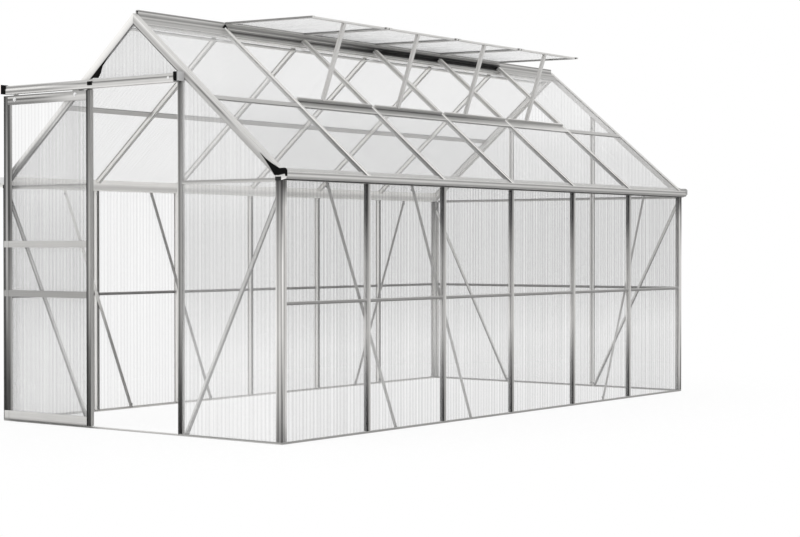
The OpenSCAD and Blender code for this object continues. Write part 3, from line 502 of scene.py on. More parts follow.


# The sheets' tones by height are painted light and shade, standing for what shows through and round each
# sheet
NEAR_SHEET = [(0, 0.9), (0.25, 0.9), (0.42, 0.95), (0.66, 0.45), (1, 0.36), (1.3, 0.4)]
GABLE_SHEET = [(0, 1), (0.4, 1), (0.7, 0.62), (1, 0.6), (1.25, 0.9), (2.0, 0.85)]
VENT_SHADE = [(-1.25, 1.6), (-0.66, 1.6), (-0.6, 1.7), (0.6, 1.5), (1.3, 0.9)]
VENT_STREAK_SHARE = [(-0.64, 0.1), (-0.6, 0.9), (1.3, 0.9)]
VENT_STREAKS = [(0.04, 1), (0.14, 0.7), (0.32, 0.1), (0.45, 0)]
ROOF_SHEET = [(1.2, 0.45), (1.45, 0.55), (1.7, 0.9), (2.0, 0.95)]
STREAK_COVER = 1.6
STREAK_TONE = 0.12
STRIPES = (60, 170, 340)

# Node, name, the direction across its flutes, its share of the sheets' cover, and what else it has
SHEETS = (
    ("wall_panels_right", "right wall sheet", Y, 1, {"tones": NEAR_SHEET}),
    ("wall_panels_left", "left wall sheet", Y, 0.5, {}),
    ("gable_panels_front", "front gable sheet", X, 1.15, {"tones": GABLE_SHEET, "lines": 0.55}),
    ("door_panels", "door sheet", X, 0.5, {}),
    ("gable_panels_rear", "rear gable sheet", X, 0.5, {}),
    ("roof_panels_right", "right roof sheet", Y, 1, {"tones": ROOF_SHEET, "lines": 0.25}),
    ("roof_panels_left", "left roof sheet", Y, 1.1, {"lines": 0.25}),
    ("vent_panels", "vent sheet", Y, 0.8, {"lines": 0.6, "shade": VENT_SHADE}),
)

# The bars' looks are painted reflections and shade. Bands lie across a profile, in millimetres; painted shade
# by height and shares lie along it, in metres. The side faces' tones are painted shade, each by how the face
# is turned to the light.
POST = faces(
    1,
    [(-14, 0.6), (-9, 0.7), (-7, 1), (0, 1), (2, 0.45), (5, 0.12), (9, 0.12), (11, 0.5), (14, 0.6)],
    [(0, 0.01), (0.15, 0.04), (0.3, 0.35), (0.49, 1), (0.82, 0.75), (0.95, 0.4), (1.06, 0.08), (1.2, 0.01)],
    0.4,
    level=[(0, 0.03), (0.15, 0.08), (0.3, 0.22), (0.49, 0.45), (0.6, 0.42), (0.82, 0.3), (0.95, 0.2),
           (1.06, 0.1), (1.2, 0.04)],
    trim=[(-14, 0), (-1, 0), (2, 1), (14, 1)],
    trim_tone=0.62,
)
FAR_POST = faces(
    [(-14, 0.5), (-9, 0.3), (4, 0.45), (14, 0.5)],
    [(-14, 1), (0, 1), (4, 0.5), (8, 0.08), (14, 0.04)],
    0.97, 0.4,
)
GABLE_POST = faces(
    [(-14, 0.8), (-11, 0.75), (-9, 0.2), (-3, 0.2), (-2, 0.28), (4, 0.3), (6, 0.36), (14, 0.34)],
    [(-14, 0.9), (-6, 0.95), (-5, 0.6), (4, 0.6), (5, 0.9), (14, 0.85)],
    0.6, 0.6,
    level=[(0, 0.05), (0.2, 0.22), (0.35, 0.5), (0.6, 1), (1.2, 1), (1.55, 0.65), (1.7, 0.5)],
)
REAR_POST = faces(
    [(-14, 0.5), (-11, 0.6), (-9, 0.95), (7, 0.95), (10, 0.6), (14, 0.5)],
    [(-14, 0.35), (-9, 0.25), (4, 0.4), (14, 0.45)],
    0.9, 0.95,
)
# Corner posts: painted reflections and shade across their faces and by height
CORNER_FRONT = {
    "outer": [(-36, 0.6), (-31, 0.5), (-28, 0.26), (-22, 0.28), (-15, 0.42), (-9, 0.42), (-5, 0.2), (0, 0.2)],
    "level": [(0, 0.7), (0.1, 1), (0.2, 1.35), (0.5, 1.8), (0.82, 1.4), (1.04, 1.05), (1.12, 0.7),
              (1.2, 0.3)],
}
CORNER_SIDE = {
    "middle": [(0, 0.75), (4, 0.97), (9, 0.97), (14, 0.7), (20, 0.58), (36, 0.62)],
    "ends": [(0, 0.1), (3, 0.16), (8, 0.3), (13, 0.48), (18, 0.6), (24, 0.7), (36, 0.72)],
    "ends_share": [(0, 1), (0.19, 1), (0.35, 0.6), (0.5, 0.25), (0.82, 0), (0.95, 0.4), (1.04, 0.9),
                   (1.15, 1)],
    "level": [(0, 0.5), (0.1, 0.9), (0.2, 1), (1.08, 1), (1.18, 0.25)],
}
# Painted shade by height on the glazing channel: dark beside the stile, paler past its middle
CHANNEL_DARK = [(0, 0.07), (0.2, 0.07), (0.45, 0.2), (0.6, 0.22), (0.85, 0.15), (1.05, 0.06), (1.7, 0.1)]
CHANNEL_PALE = [(0, 0.3), (0.2, 0.33), (0.5, 0.4), (0.6, 0.36), (1.05, 0.17), (1.25, 0.3), (1.7, 0.4)]
# Painted shade on the corner posts' faces that look into the house, by height
CORNER_INSIDE_SHADE = [(0, 0.03), (0.2, 0.06), (0.4, 0.2), (0.6, 0.35), (0.8, 0.2), (1.05, 0.05), (1.2, 0.05)]
STILE = faces(
    [(-15, 0.05), (-9, 0.1), (-3, 0.2), (1, 0.45), (7, 0.5), (9, 0.3), (15, 0.4)],
    0.5, 0.3, 0.42,
    level=[(0, 0.1), (0.2, 0.2), (0.4, 0.4), (0.55, 0.75), (0.82, 1.1), (1.1, 1), (1.5, 0.6), (1.67, 0.4)],
)
ROOF_BAR = faces(
    [(-14, 0.42), (-11, 0.5), (-10, 0.92), (-3, 1), (5, 1), (8, 0.9), (14, 0.9)],
    [(-14, 0.6), (-9, 1), (9, 1), (11, 0.4), (14, 0.4)],
    [(1.25, 0.2), (1.375, 0.28), (1.53, 0.52), (1.82, 0.72)],
    0.7,
)
FAR_BAR = faces(
    ROOF_BAR["outer"],
    [(-14, 0.5), (-12, 0.8), (-9, 1), (6, 1), (9, 0.4), (12, 0.05), (14, 0.03)],
    1, 0.7,
)
WALL_RAIL = faces(
    [(-8, 0.25), (-5, 0.2), (-3, 0.24), (0, 0.34), (3, 0.28), (5, 0.3), (8, 0.75)],
    [(-8, 0.3), (-3, 0.2), (3, 0.25), (8, 0.5)],
    0.3, 0.7,
)
# The dark bands under the gutter's lip are a painted shadow; other changes the painted bands along the run
GUTTER = faces(
    [(1200, 0.55), (1204, 0.45), (1207, 0.08), (1211, 0.03), (1213, 0.15), (1217, 0.36), (1221, 0.5),
     (1226, 0.68), (1231, 0.62), (1234, 0.33), (1237, 0.42), (1241, 0.55), (1250, 0.62), (1263, 0.85)],
    [(1200, 1), (1208, 0.95), (1214, 0.78), (1226, 0.72), (1236, 0.85), (1244, 1), (1263, 1)],
    0.4, 0.9,
    other=[(1200, 0.6), (1205, 0.2), (1209, 0.04), (1213, 0.1), (1217, 0.25), (1221, 0.42), (1226, 0.6),
           (1230, 0.5), (1234, 0.25), (1240, 0.6), (1246, 0.72), (1254, 0.9), (1263, 0.95)],
    other_share=[(-1.6, 0), (-1, 0.15), (0.4, 0.8), (1.2, 1)],
)
# The track's dark lines are painted shade under its lips, laid otherwise at its left end
TRACK = faces(
    [(1683, 0.8), (1689, 0.75), (1693, 0.62), (1699, 0.7), (1704, 0.5), (1708, 0.26), (1711, 0.24),
     (1714, 0.62), (1720, 0.6), (1725, 0.55)],
    0.6, 0.8, 0.5,
    other=[(1683, 0.7), (1688, 0.65), (1691, 0.36), (1696, 0.3), (1699, 0.4), (1703, 0.85), (1709, 0.85),
           (1713, 0.45), (1716, 0.3), (1720, 0.36), (1723, 0.8), (1725, 0.6)],
    other_share=[(-0.62, 1), (-0.42, 0.35), (-0.34, 0.1), (-0.1, 0)],
)
# The top rail's dark lines are a painted shadow under the track, heavier towards its left
TOP_RAIL = {
    "outer": [(1628, 0.6), (1640, 0.62), (1652, 0.72), (1660, 0.48), (1672, 0.4), (1676, 0.5)],
    "other": [(1628, 0.26), (1636, 0.22), (1641, 0.36), (1645, 0.45), (1649, 0.38), (1652, 0.12),
              (1656, 0.16), (1660, 0.45), (1664, 0.75), (1668, 0.55), (1672, 0.1), (1676, 0.25)],
    "other_share": [(-0.7, 1), (-0.6, 0.8), (-0.42, 0), (-0.3, 0)],
}
# Painted shade by height on the lower door rails, darkest in a line at the kick rail's foot
LEAF_RAILS = [(0.014, 0.22), (0.018, 0.25), (0.021, 0.66), (0.06, 0.68), (0.645, 0.38), (0.68, 0.36),
              (0.897, 0.54), (0.93, 0.56), (1.6, 0.5)]
CROSS_RAIL = faces(
    [(1199, 0.5), (1201, 0.62), (1204, 0.55), (1207, 0.4), (1212, 0.38), (1215, 0.3)],
    0.6, 0.35, 0.8,
)
# Flat looks: each face a painted shade of its own, by how it is turned to the light
HEADER = faces(0.7, 0.6, 0.4, 0.7)
GABLE_BASE = faces([(0, 0.6), (4, 0.5), (6, 0.4), (7, 0.2), (8, 0.35), (10, 0.5)], 0.9, 0.5, 0.7)
LONG_BASE = faces([(0, 0.5), (4, 0.42), (6, 0.3), (8, 0.42), (10, 0.5)], 0.75, 0.5, 0.65)
# Painted reflections and shadow on the ridge; over the vents the bands turn into painted shadow behind the
# rear vents
RIDGE = {
    "outer": [(1966, 0.6), (1968, 0.8), (1978, 0.85), (1981, 0.7), (1985, 0.42), (1990, 0.45),
              (1999, 0.48), (2005, 0.38), (2011, 0.5), (2018, 0.58), (2022, 0.34), (2030, 0.36),
              (2037, 0.55), (2041, 0.7), (2045, 0.26), (2048, 0.3), (2054, 0.5)],
    "vents": [(1966, 0.35), (1970, 0.4), (1974, 0.5), (1977, 0.7), (1980, 1), (1991, 1), (1995, 0.45),
              (2001, 0.5), (2006, 0.9), (2010, 0.6), (2013, 0.12), (2018, 0.5), (2022, 0.75), (2027, 0.4),
              (2032, 0.3), (2038, 0.5), (2044, 0.55), (2054, 0.56)],
    "vents_dark": [(1962, 0.4), (1967, 0.3), (1971, 0.16), (1974, 0.16), (1977, 0.5), (1980, 1),
                   (1991, 1), (1995, 0.5), (2003, 0.36), (2008, 0.08), (2012, 0.01), (2027, 0.01),
                   (2031, 0.06), (2036, 0.3), (2039, 0.38), (2046, 0.35), (2054, 0.5)],
}
# The web's painted shade: lit towards the front, in painted shadow behind the rear vents
WEB = {
    "light": [(1966, 0.5), (1971, 0.6), (1974, 0.95), (1987, 0.97), (1989, 0.33), (2002, 0.32),
              (2006, 0.1), (2010, 0.12), (2014, 0.4), (2020, 0.55), (2025, 0.24), (2032, 0.2), (2036, 0.4)],
    "dark": [(1966, 0.4), (1971, 0.6), (1974, 0.95), (1986, 0.97), (1989, 0.42), (1995, 0.3),
             (1999, 0.08), (2006, 0.01), (2030, 0.012), (2036, 0.2)],
}
# Painted reflections and shade on the front rafters, by slope and along each rafter
RAFTER = {
    "right": (
        [(-41, 0.04), (-38, 0.1), (-35, 0.6), (-30, 0.52), (-25, 0.46), (-20, 0.54), (-15, 0.64),
         (-9, 0.8), (-4, 0.84), (0, 0.66)],
        [(-41, 0.45), (-35, 0.52), (-30, 0.54), (-25, 0.45), (-21, 0.22), (-18, 0.2), (-14, 0.42),
         (-10, 0.68), (-5, 0.7), (0, 0.6)],
        [(-41, 0.36), (-36, 0.45), (-28, 0.48), (-20, 0.53), (-12, 0.64), (-4, 0.67), (0, 0.6)],
    ),
    "left": (
        [(-41, 0.3), (-38, 0.65), (-30, 0.8), (-20, 0.9), (-10, 0.98), (0, 0.98)],
        [(-41, 0.55), (-36, 0.75), (-31, 0.65), (-28, 0.4), (-25, 0.5), (-20, 0.88), (-10, 1), (0, 1)],
        [(-41, 0.22), (-34, 0.28), (-26, 0.32), (-22, 0.48), (-18, 0.75), (-10, 0.97), (0, 0.97)],
    ),
}
SILL = faces(
    [(599, 0.7), (617, 0.66), (623, 0.54), (629, 0.4), (641, 0.36), (647, 0.31), (653, 0.17), (658, 0.08),
     (662, 0.12), (666, 0.42), (671, 0.6), (677, 0.78), (683, 0.9), (693, 1)],
    0.6, 0.4, 0.6,
    other=[(599, 0.9), (617, 0.8), (629, 0.72), (641, 0.66), (653, 0.55), (661, 0.58), (668, 0.82),
           (677, 0.98), (693, 1)],
    other_share=[(0, 0), (1.2, 1)],
)
# Flat looks: each face a painted shade of its own, by how it is turned to the light
PURLIN = faces(0.52, 0.5, 0.55, 0.6)
VENT_BAR = faces(0.8, 0.7, 0.3, 0.7)
STAY = faces(0.62, 0.62, 0.62, 0.3)

WALL_ROW = {"middle": MIDDLE_Y, "pitch": BAY}
GABLE_ROW = {"middle": GABLE_BAY / 2, "pitch": GABLE_BAY}
STILE_ROW = {"middle": STILE_X, "pitch": STILE_PITCH}
SIDES = {"mirror": True}

# Nodes, name, look, the direction across the bars, the one that faces out, and what else they have
BARS = (
    (["side_posts_right"], "right wall bars", POST, Y, X, WALL_ROW),
    (["side_posts_left"], "left wall bars", FAR_POST, Y, X, {**WALL_ROW, **SIDES, "shine": 0.5}),
    (["door_posts"], "door_posts", GABLE_POST, X, FRONT, GABLE_ROW),
    (["rear_gable_posts"], "rear_gable_posts", REAR_POST, X, FRONT, GABLE_ROW),
    (["roof_bars_right"], "right roof bars", ROOF_BAR, Y, RIGHT_SLOPE, WALL_ROW),
    (["roof_bars_left"], "left roof bars", FAR_BAR, Y, LEFT_SLOPE, {**WALL_ROW, "shine": 0.6}),
    (["mid_rails_long"], "wall rails", WALL_RAIL, Z, X, {"middle": RAIL_Z, **SIDES}),
    (["mid_rails_rear"], "rear rails", WALL_RAIL, Z, Y, {"middle": RAIL_Z}),
    (["gutter_right", "gutter_left"], "gutters", GUTTER, Z, X, {**SIDES, "shine": 0.5}),
    (["base_rails_long"], "long base rails", LONG_BASE, Z, X, SIDES),
    (["base_rails_gable"], "gable base rails", GABLE_BASE, Z, FRONT, {}),
    (["cross_rails"], "cross rails", CROSS_RAIL, Z, FRONT, {}),
    (["door_header"], "door header", HEADER, Z, FRONT, {}),
    (["door_track"], "door track", TRACK, Z, FRONT, {}),
    (["door_stiles"], "door stiles", STILE, X, FRONT, STILE_ROW),
    (["purlins"], "purlins", PURLIN, UP_RIGHT, RIGHT_SLOPE, {}),
    (["vent_sills"], "vent sills", SILL, UP_RIGHT, RIGHT_SLOPE, {}),
    (VENT_FRAMES, "vent frames", VENT_BAR, Y, Z, {}),
    (["vent_stays"], "vent stays", STAY, Y, X, {}),
)


class GREENHOUSE_OT_frame_finish(bpy.types.Operator):
    """Gives every aluminium bar its finish"""

    bl_idname = "greenhouse.frame_finish"
    bl_label = "Aluminium frame"

    def execute(self, context):
        for nodes, name, look, across, outward, more in BARS:
            paint(nodes, bar_finish(name, look, across, outward, **more))
        paint(["door_rails"], leaf_rail_finish())
        paint(["corner_posts"], corner_finish())
        paint(["ridge_beam"], ridge_finish())
        paint(["gable_rafters_front", "gable_rafters_rear"], rafter_finish())
        paint(["wall_braces"], wall_brace_finish())
        paint(["gable_braces"], brace_finish())
        return {"FINISHED"}


def leaf_rail_finish():
    """The door's rails in painted shade: the top one banded with painted shadow under the track and shaded at
    its left, the others plain, in tones by height.
    """
    r = Recipe("door rails")
    x, _, z = r.split()
    top = r.bands(z, TOP_RAIL["outer"])
    top = r.mix(r.fade(x, TOP_RAIL["other_share"]), top, r.bands(z, TOP_RAIL["other"]))
    colour = r.mix(r.over(z, 1.6), r.fade(z, LEAF_RAILS), top)
    return aluminium_surface(r, colour, X)


def corner_finish():
    """Corner posts in painted reflections and shade, with their two outer faces shaded apart and the inner
    faces in painted shade.
    """
    r = Recipe("corner posts")
    place, normal = r.sided()
    x, y, z = r.split(place)
    from_middle = r.maths("ABSOLUTE", r.maths("SUBTRACT", y, MIDDLE_Y))
    inwards = r.maths("SUBTRACT", REAR_Y - MIDDLE_Y, from_middle)
    front = r.bands(r.maths("SUBTRACT", x, WALL_X), CORNER_FRONT["outer"])
    front = r.times(front, r.fade(z, CORNER_FRONT["level"]))
    rear = r.over(y, MIDDLE_Y)
    shade = r.mix(rear, LEFT_CORNER_SHADE, REAR_CORNER_SHADE)
    left = r.under(r.split()[0], 0)
    front = r.mix(left, front, r.times(front, shade))
    middle, ends = [r.bands(inwards, CORNER_SIDE[part]) for part in ("middle", "ends")]
    side = r.mix(r.fade(z, CORNER_SIDE["ends_share"]), middle, ends)
    side = r.times(side, r.fade(z, CORNER_SIDE["level"]))
    outward = r.split(normal)[0]
    colour = r.mix(r.over(outward, 0.5), front, side)
    # Painted shade on the faces that look into the house, lighter at the rear
    inside = r.mix(rear, r.fade(z, CORNER_INSIDE_SHADE), 0.6)
    colour = r.mix(r.under(outward, -0.5), colour, inside)
    return aluminium_surface(r, colour, Z)


def ridge_finish():
    """The ridge beam in painted reflections and shade: lined flanges and crest, and a web in painted shade
    behind the rear vents.
    """
    r = Recipe("ridge")
    x, y, z = r.split(r.sided()[0])
    # Share of painted shadow, deeper towards the rear vents
    rearward = r.fade(y, [(-1.2, 0), (-0.5, 0.2), (0.1, 1), (1.3, 1)])
    cover = r.bands(z, RIDGE["outer"])
    vents = r.mix(rearward, r.bands(z, RIDGE["vents"]), r.bands(z, RIDGE["vents_dark"]))
    vent_bays = [(station(1) - 0.02, 0), (station(1), 1), (station(5), 1), (station(5) + 0.02, 0)]
    cover = r.mix(r.fade(y, vent_bays), cover, vents)
    web = r.mix(rearward, r.bands(z, WEB["light"]), r.bands(z, WEB["dark"]))
    inside = r.under(x, WEB_X)
    bulb = r.maths("MULTIPLY", r.under(x, BULB_X), r.under(z, BULB_TOP))
    below = r.maths("MULTIPLY", inside, r.under(z, RIDGE_Z))
    colour = r.mix(r.maths("MAXIMUM", below, bulb), cover, web)
    return aluminium_surface(r, colour, Y)


def rafter_finish():
    """Gable rafters in painted reflections and shade: bands square to the roof edge, paler on the left slope,
    with painted shade on the front rafters' undersides.
    """
    r = Recipe("rafters")
    place, normal = r.sided()
    depth = r.maths("SUBTRACT", r.measure(place, RIGHT_SLOPE), EDGE_REACH)
    x, y, _ = r.split(place)
    slopes = []
    for side in ("right", "left"):
        head, middle, foot = [r.bands(depth, bands) for bands in RAFTER[side]]
        upper = r.mix(r.fade(x, [(0.3, 0), (0.43, 1)]), head, middle)
        slopes.append(r.mix(r.fade(x, [(0.57, 0), (0.7, 1)]), upper, foot))
    face = r.mix(r.under(r.split()[0], 0), *slopes)
    rear = r.over(y, MIDDLE_Y)
    face = r.mix(rear, face, REAR_RAFTER)
    facing = r.measure(normal, RIGHT_SLOPE)
    colour = r.mix(r.over(facing, 0.7), face, 0.7)
    # Painted shade on the undersides, near black on the front rafters
    colour = r.mix(r.under(facing, -0.7), colour, r.mix(rear, 0.05, 0.9))
    return aluminium_surface(r, colour, UP_RIGHT)


def wall_brace_finish():
    """Wall braces: mid grey, paler on the left wall's first bay."""
    r = Recipe("wall braces")
    x, y, _ = r.split()
    left = r.fade(y, [(-1.3, 1), (-1.15, 0.36), (1.9, 0.4)])
    colour = r.mix(r.under(x, 0), 0.55, left)
    return aluminium_surface(r, colour, Z)


def brace_finish():
    """Gable braces: a painted highlight down the middle with painted shade at the edges."""
    r = Recipe("gable braces")
    lean = Vector((BRACE_RISE, 0, -BRACE_RUN)).normalized()
    head = Vector((BRACE_HEAD_X, 0, BRACE_HEAD_Z)).dot(lean)
    across = r.maths("SUBTRACT", r.measure(r.sided()[0], lean), head)
    colour = r.bands(across, [(-14, 0.24), (-9, 0.3), (-6, 0.8), (6, 0.85), (9, 0.3), (14, 0.24)])
    return aluminium_surface(r, colour, Z)


class GREENHOUSE_OT_sheet_finish(bpy.types.Operator):
    """Gives the twin-wall sheets their milky, ribbed look"""

    bl_idname = "greenhouse.sheet_finish"
    bl_label = "Twin-wall sheets"

    def execute(self, context):
        alpha = context.scene.greenhouse_finishes.sheet_alpha
        for node, name, across, share, more in SHEETS:
            paint([node], sheet_finish(name, across, alpha * share, **more))
        return {"FINISHED"}


def sheet_finish(name, across, alpha, tones=None, lines=1, shade=None):
    """Clear fluted sheet: each surface hides a share of what is behind it, more along the ribs.

    tones gives its tone by height, painted light and shade for what shows through and round it,
    lines the strength of its stripes, and shade how much more of it shows along Y, with dark streaks
    near the ridge.
    """
    r = Recipe(name)
    x, y, z = r.split()
    distance = r.measure(r.spot, across)
    flute = r.maths("PINGPONG", distance, FLUTE / 2)
    rib = r.ramp(flute, 0, FLUTE / 2, [(0, 0.75), (0.12, 0.78), (0.2, 1), (1, 1)])
    waver = r.maths("MULTIPLY_ADD", r.noise((9, 9, 9), 2, 0.5), WAVER, distance)
    half = WEB_PITCH / 2
    web = r.ramp(r.maths("PINGPONG", waver, half), 0, half, [(0, 0.2), (0.2, 0.25), (0.4, 1), (1, 1)])
    soft, line, thin = [r.noise([scale if on else 0.4 for on in across], 2) for scale in STRIPES]
    patch = r.noise((1.1, 1.1, 1.1), 2, 0.5)
    colour = r.fade(z, tones) if tones else bpy.context.scene.greenhouse_finishes.sheet_colour
    for share, mask in (
        (0.3, r.ramp(patch, 0.35, 0.65, [(0, 0.8), (1, 1)])),
        (0.5, rib),
        (0.35 * lines, web),
        (0.12 * lines, r.ramp(soft, 0.35, 0.65, [(0, 0.7), (1, 1)])),
        (0.6 * lines, r.ramp(line, 0.4, 0.6, [(0, 0.45), (1, 1)])),
        (0.5 * lines, r.ramp(thin, 0.4, 0.6, [(0, 0.5), (1, 1)])),
    ):
        colour = r.mix(share, colour, mask, "MULTIPLY")
    roughness = r.maths("MULTIPLY_ADD", soft, 0.2, 0.2)
    bump = r.bump(flute, 0.6 * MM, 0.5)
    clear = r.maths("MULTIPLY", web, r.ramp(line, 0.4, 0.6, [(0, 0.6), (1, 1)]))
    spread = STRIPE_DEPTH * lines
    cover = r.maths("MULTIPLY_ADD", clear, -spread * alpha, (1 + spread * MEAN_CLEAR) * alpha)
    if shade:
        dark = r.maths("MULTIPLY", r.fade(x, VENT_STREAKS), r.ramp(soft, 0.42, 0.58, [(0, 1), (1, 0.1)]))
        dark = r.maths("MULTIPLY", dark, r.fade(y, VENT_STREAK_SHARE))
        shaded = r.maths("MULTIPLY", cover, r.fade(y, shade))
        cover = r.maths("MULTIPLY_ADD", dark, STREAK_COVER * alpha, shaded)
        colour = r.mix(dark, colour, STREAK_TONE)
    return r.finish(colour, roughness, bump, alpha=cover, specular=0.25)


class GREENHOUSE_OT_plastic_finish(bpy.types.Operator):
    """Gives caps and fittings their moulded plastic, and the threshold and hangers their aluminium"""

    bl_idname = "greenhouse.plastic_finish"
    bl_label = "Plastic fittings"

    def execute(self, context):
        paint(["gutter_caps_front"], plastic_finish("black cap", BLACK, pale_left=True))
        # The threshold and the hangers carry the painted shade of the gable base and the header
        paint(["door_threshold"], bar_finish("threshold", GABLE_BASE, Z, FRONT))
        paint(["track_fittings"], plastic_finish("track fittings", BLACK, clamp_from=CLAMP_X))
        paint(["gutter_caps_rear"], plastic_finish("pale plastic", 0.4))
        paint(["door_rollers"], plastic_finish("roller plastic", 0.02))
        paint(["door_hangers"], bar_finish("hangers", HEADER, X, FRONT))
        return {"FINISHED"}


def plastic_finish(name, tone, clamp_from=None, pale_left=False):
    """Moulded plastic; past clamp_from along X it turns to the dull metal of a clamp."""
    r = Recipe(name)
    grain = r.noise(PLASTIC_GRAIN, 2)
    patch = r.noise(PLASTIC_PATCH, 3)
    colour = r.mix(r.ramp(patch, 0.3, 0.7, [(0, 0), (1, 1)]), tone, tone * 1.3 + BLACK)
    x = r.split()[0]
    if clamp_from:
        metal = r.fade(x, [(clamp_from, 0.3), (CLAMP_END, 0.5)])
        colour = r.mix(r.over(x, clamp_from), colour, metal)
    if pale_left:
        colour = r.mix(r.under(x, 0), colour, PALE_CAP)
    roughness = r.maths("MULTIPLY_ADD", patch, 0.2, 0.4)
    normal = r.bump(grain, 0.2 * MM, 0.4)
    return r.finish(colour, roughness, normal, specular=0.04)


# ---------- modelling helpers ----------
def deselect():
    """Leaves edit mode and selects nothing."""
    if bpy.context.object and bpy.context.object.mode != "OBJECT":
        bpy.ops.object.mode_set(mode="OBJECT")
    bpy.ops.object.select_all(action="DESELECT")


def take(piece):
    """Makes one object the only selected and active one."""
    deselect()
    piece.select_set(True)
    bpy.context.view_layer.objects.active = piece


def block(name, low, high):
    """A box between two corners, its object left at the origin."""
    deselect()
    bpy.ops.mesh.primitive_cube_add(size=1)
    piece = bpy.context.object
    piece.name = name
    piece.scale = [b - a for a, b in zip(low, high)]
    piece.location = [(a + b) / 2 for a, b in zip(low, high)]
    bpy.ops.object.transform_apply(location=True, rotation=True, scale=True)
    return piece


def pick(piece, test, kind="FACE"):
    """Enters edit mode with the faces or vertices selected that pass the test."""
    take(piece)
    bpy.ops.object.mode_set(mode="EDIT")
    bpy.ops.mesh.select_mode(type=kind)
    bpy.ops.mesh.select_all(action="DESELECT")
    bpy.ops.object.mode_set(mode="OBJECT")
    for part in piece.data.polygons if kind == "FACE" else piece.data.vertices:
        part.select = test(part)
    bpy.ops.object.mode_set(mode="EDIT")


def sink(piece, side, thickness, depth):
    """Insets the faces that look along a direction, and stays in edit mode."""
    pick(piece, lambda face: face.normal.dot(Vector(side)) > 0.9)
    bpy.ops.mesh.inset(thickness=thickness, depth=depth)


def pull(way):
    """Extrudes the selected faces along a vector."""
    bpy.ops.mesh.extrude_region_move(TRANSFORM_OT_translate={"value": way})


def thicken(piece, way):
    """Turns a sheet of faces into a closed plate, and leaves edit mode."""
    pick(piece, lambda face: True)
    pull(way)
    bpy.ops.mesh.select_all(action="SELECT")
    bpy.ops.mesh.remove_doubles(threshold=0.05 * MM)
    bpy.ops.mesh.normals_make_consistent(inside=False)
    bpy.ops.object.mode_set(mode="OBJECT")
    return piece


def soften(piece, width, segments=1):
    """Rounds every edge of a piece."""
    take(piece)
    bpy.ops.object.mode_set(mode="EDIT")
    bpy.ops.mesh.select_all(action="SELECT")
    bpy.ops.mesh.bevel(offset=width, segments=segments, affect="EDGES", clamp_overlap=True)
    bpy.ops.object.mode_set(mode="OBJECT")
    bpy.ops.object.shade_smooth_by_angle(angle=math.radians(35))


def close_piece(piece, body, material):
    """Gives a finished piece its material and the body that carries it."""
    piece.data.materials.clear()
    piece.data.materials.append(material)
    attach(piece, body)


def join(pieces, name):
    """Makes one piece of several, each set in its place first."""
    deselect()
    for piece in pieces:
        piece.select_set(True)
    bpy.context.view_layer.objects.active = pieces[0]
    bpy.ops.object.transform_apply(location=True, rotation=True, scale=True)
    if len(pieces) > 1:
        bpy.ops.object.join()
    bpy.context.object.name = name
    return bpy.context.object


def copies(piece, places, name):
    """One piece made of a copy of another at each place, each turned by its own matrix."""
    made = []
    for place in places:
        twin = piece.copy()
        twin.data = piece.data.copy()
        twin.matrix_world = place
        bpy.context.scene.collection.objects.link(twin)
        made.append(twin)
    return join(made, name)


def aim(point, direction):
    """Matrix that sets a piece drawn up Z at a point, pointing along a direction."""
    turn = Vector(direction).to_track_quat("Z", "Y").to_matrix().to_4x4()
    return Matrix.Translation(point) @ turn


# ---------- small pieces ----------
def hex_bolt(radius, height):
    """A hexagon head with a chamfered top on a wider, flared hexagonal washer, drawn up Z."""
    deselect()
    centre = (0, 0, height * 0.85)
    bpy.ops.mesh.primitive_cylinder_add(vertices=6, radius=radius, depth=height, location=centre)
    piece = bpy.context.object
    bpy.ops.object.transform_apply(location=True)
    sink(piece, Z, radius * 0.16, height * 0.18)
    sink(piece, (0, 0, -1), radius * 0.1, 0)
    pull((0, 0, -height * 0.1))
    bpy.ops.transform.resize(value=(1.75, 1.75, 1))
    pull((0, 0, -height * 0.25))
    bpy.ops.object.mode_set(mode="OBJECT")
    return piece


class GREENHOUSE_OT_bolts(bpy.types.Operator):
    """Adds the hexagon bolts of the frame, the braces, the track and the door"""

    bl_idname = "greenhouse.bolts"
    bl_label = "Bolts"

    def execute(self, context):
        # One steel in two tones: the brighter a painted highlight on the door's and track's bolts, the duller
        # a painted shade on the frame's bolts
        bright = bright_steel("highlit bolt steel", 0.9)
        dull = bright_steel("shaded bolt steel", 0.35)
        sizes = context.scene.greenhouse_fittings
        small = hex_bolt(sizes.small_bolt, 3 * MM)
        walls = []
        for side in (1, -1):
            for k in range(1, BAYS):
                for z in (BASE_BOLT_Z, EAVE_BOLT_Z):
                    walls.append(aim((side * (WALL_X - BAR_D), station(k), z), (-side, 0, 0)))
        close_piece(copies(small, walls, "wall_post_bolts"), HOUSE, dull)
        gables = []
        for x in (-GABLE_BAY / 2, GABLE_BAY / 2):
            for z in (BASE_BOLT_Z, HEAD_BOLT_Z):
                gables.append(aim((x, FRONT_Y + BAR_D, z), (0, 1, 0)))
                gables.append(aim((x, REAR_Y - BAR_D, z), (0, -1, 0)))
        close_piece(copies(small, gables, "gable_post_bolts"), HOUSE, dull)
        braces = []
        for node in ("wall_braces", "gable_braces"):
            for corners in solids(node):
                braces += brace_ends(corners)
        close_piece(copies(small, braces, "brace_bolts"), HOUSE, dull)
        large = hex_bolt(sizes.large_bolt, 4 * MM)
        door = [aim((x, LEAF_Y, z), FRONT) for x, z in DOOR_BOLTS]
        close_piece(copies(large, door, "door_rail_bolts"), DOOR, bright)
        track = [aim((TRACK_BOLT_X, TRACK_Y + 4.5 * MM, TRACK_BOLT_Z), FRONT)]
        close_piece(copies(large, track, "track_bolt"), HOUSE, bright)
        for piece in (small, large):
            bpy.data.objects.remove(piece)
        return {"FINISHED"}


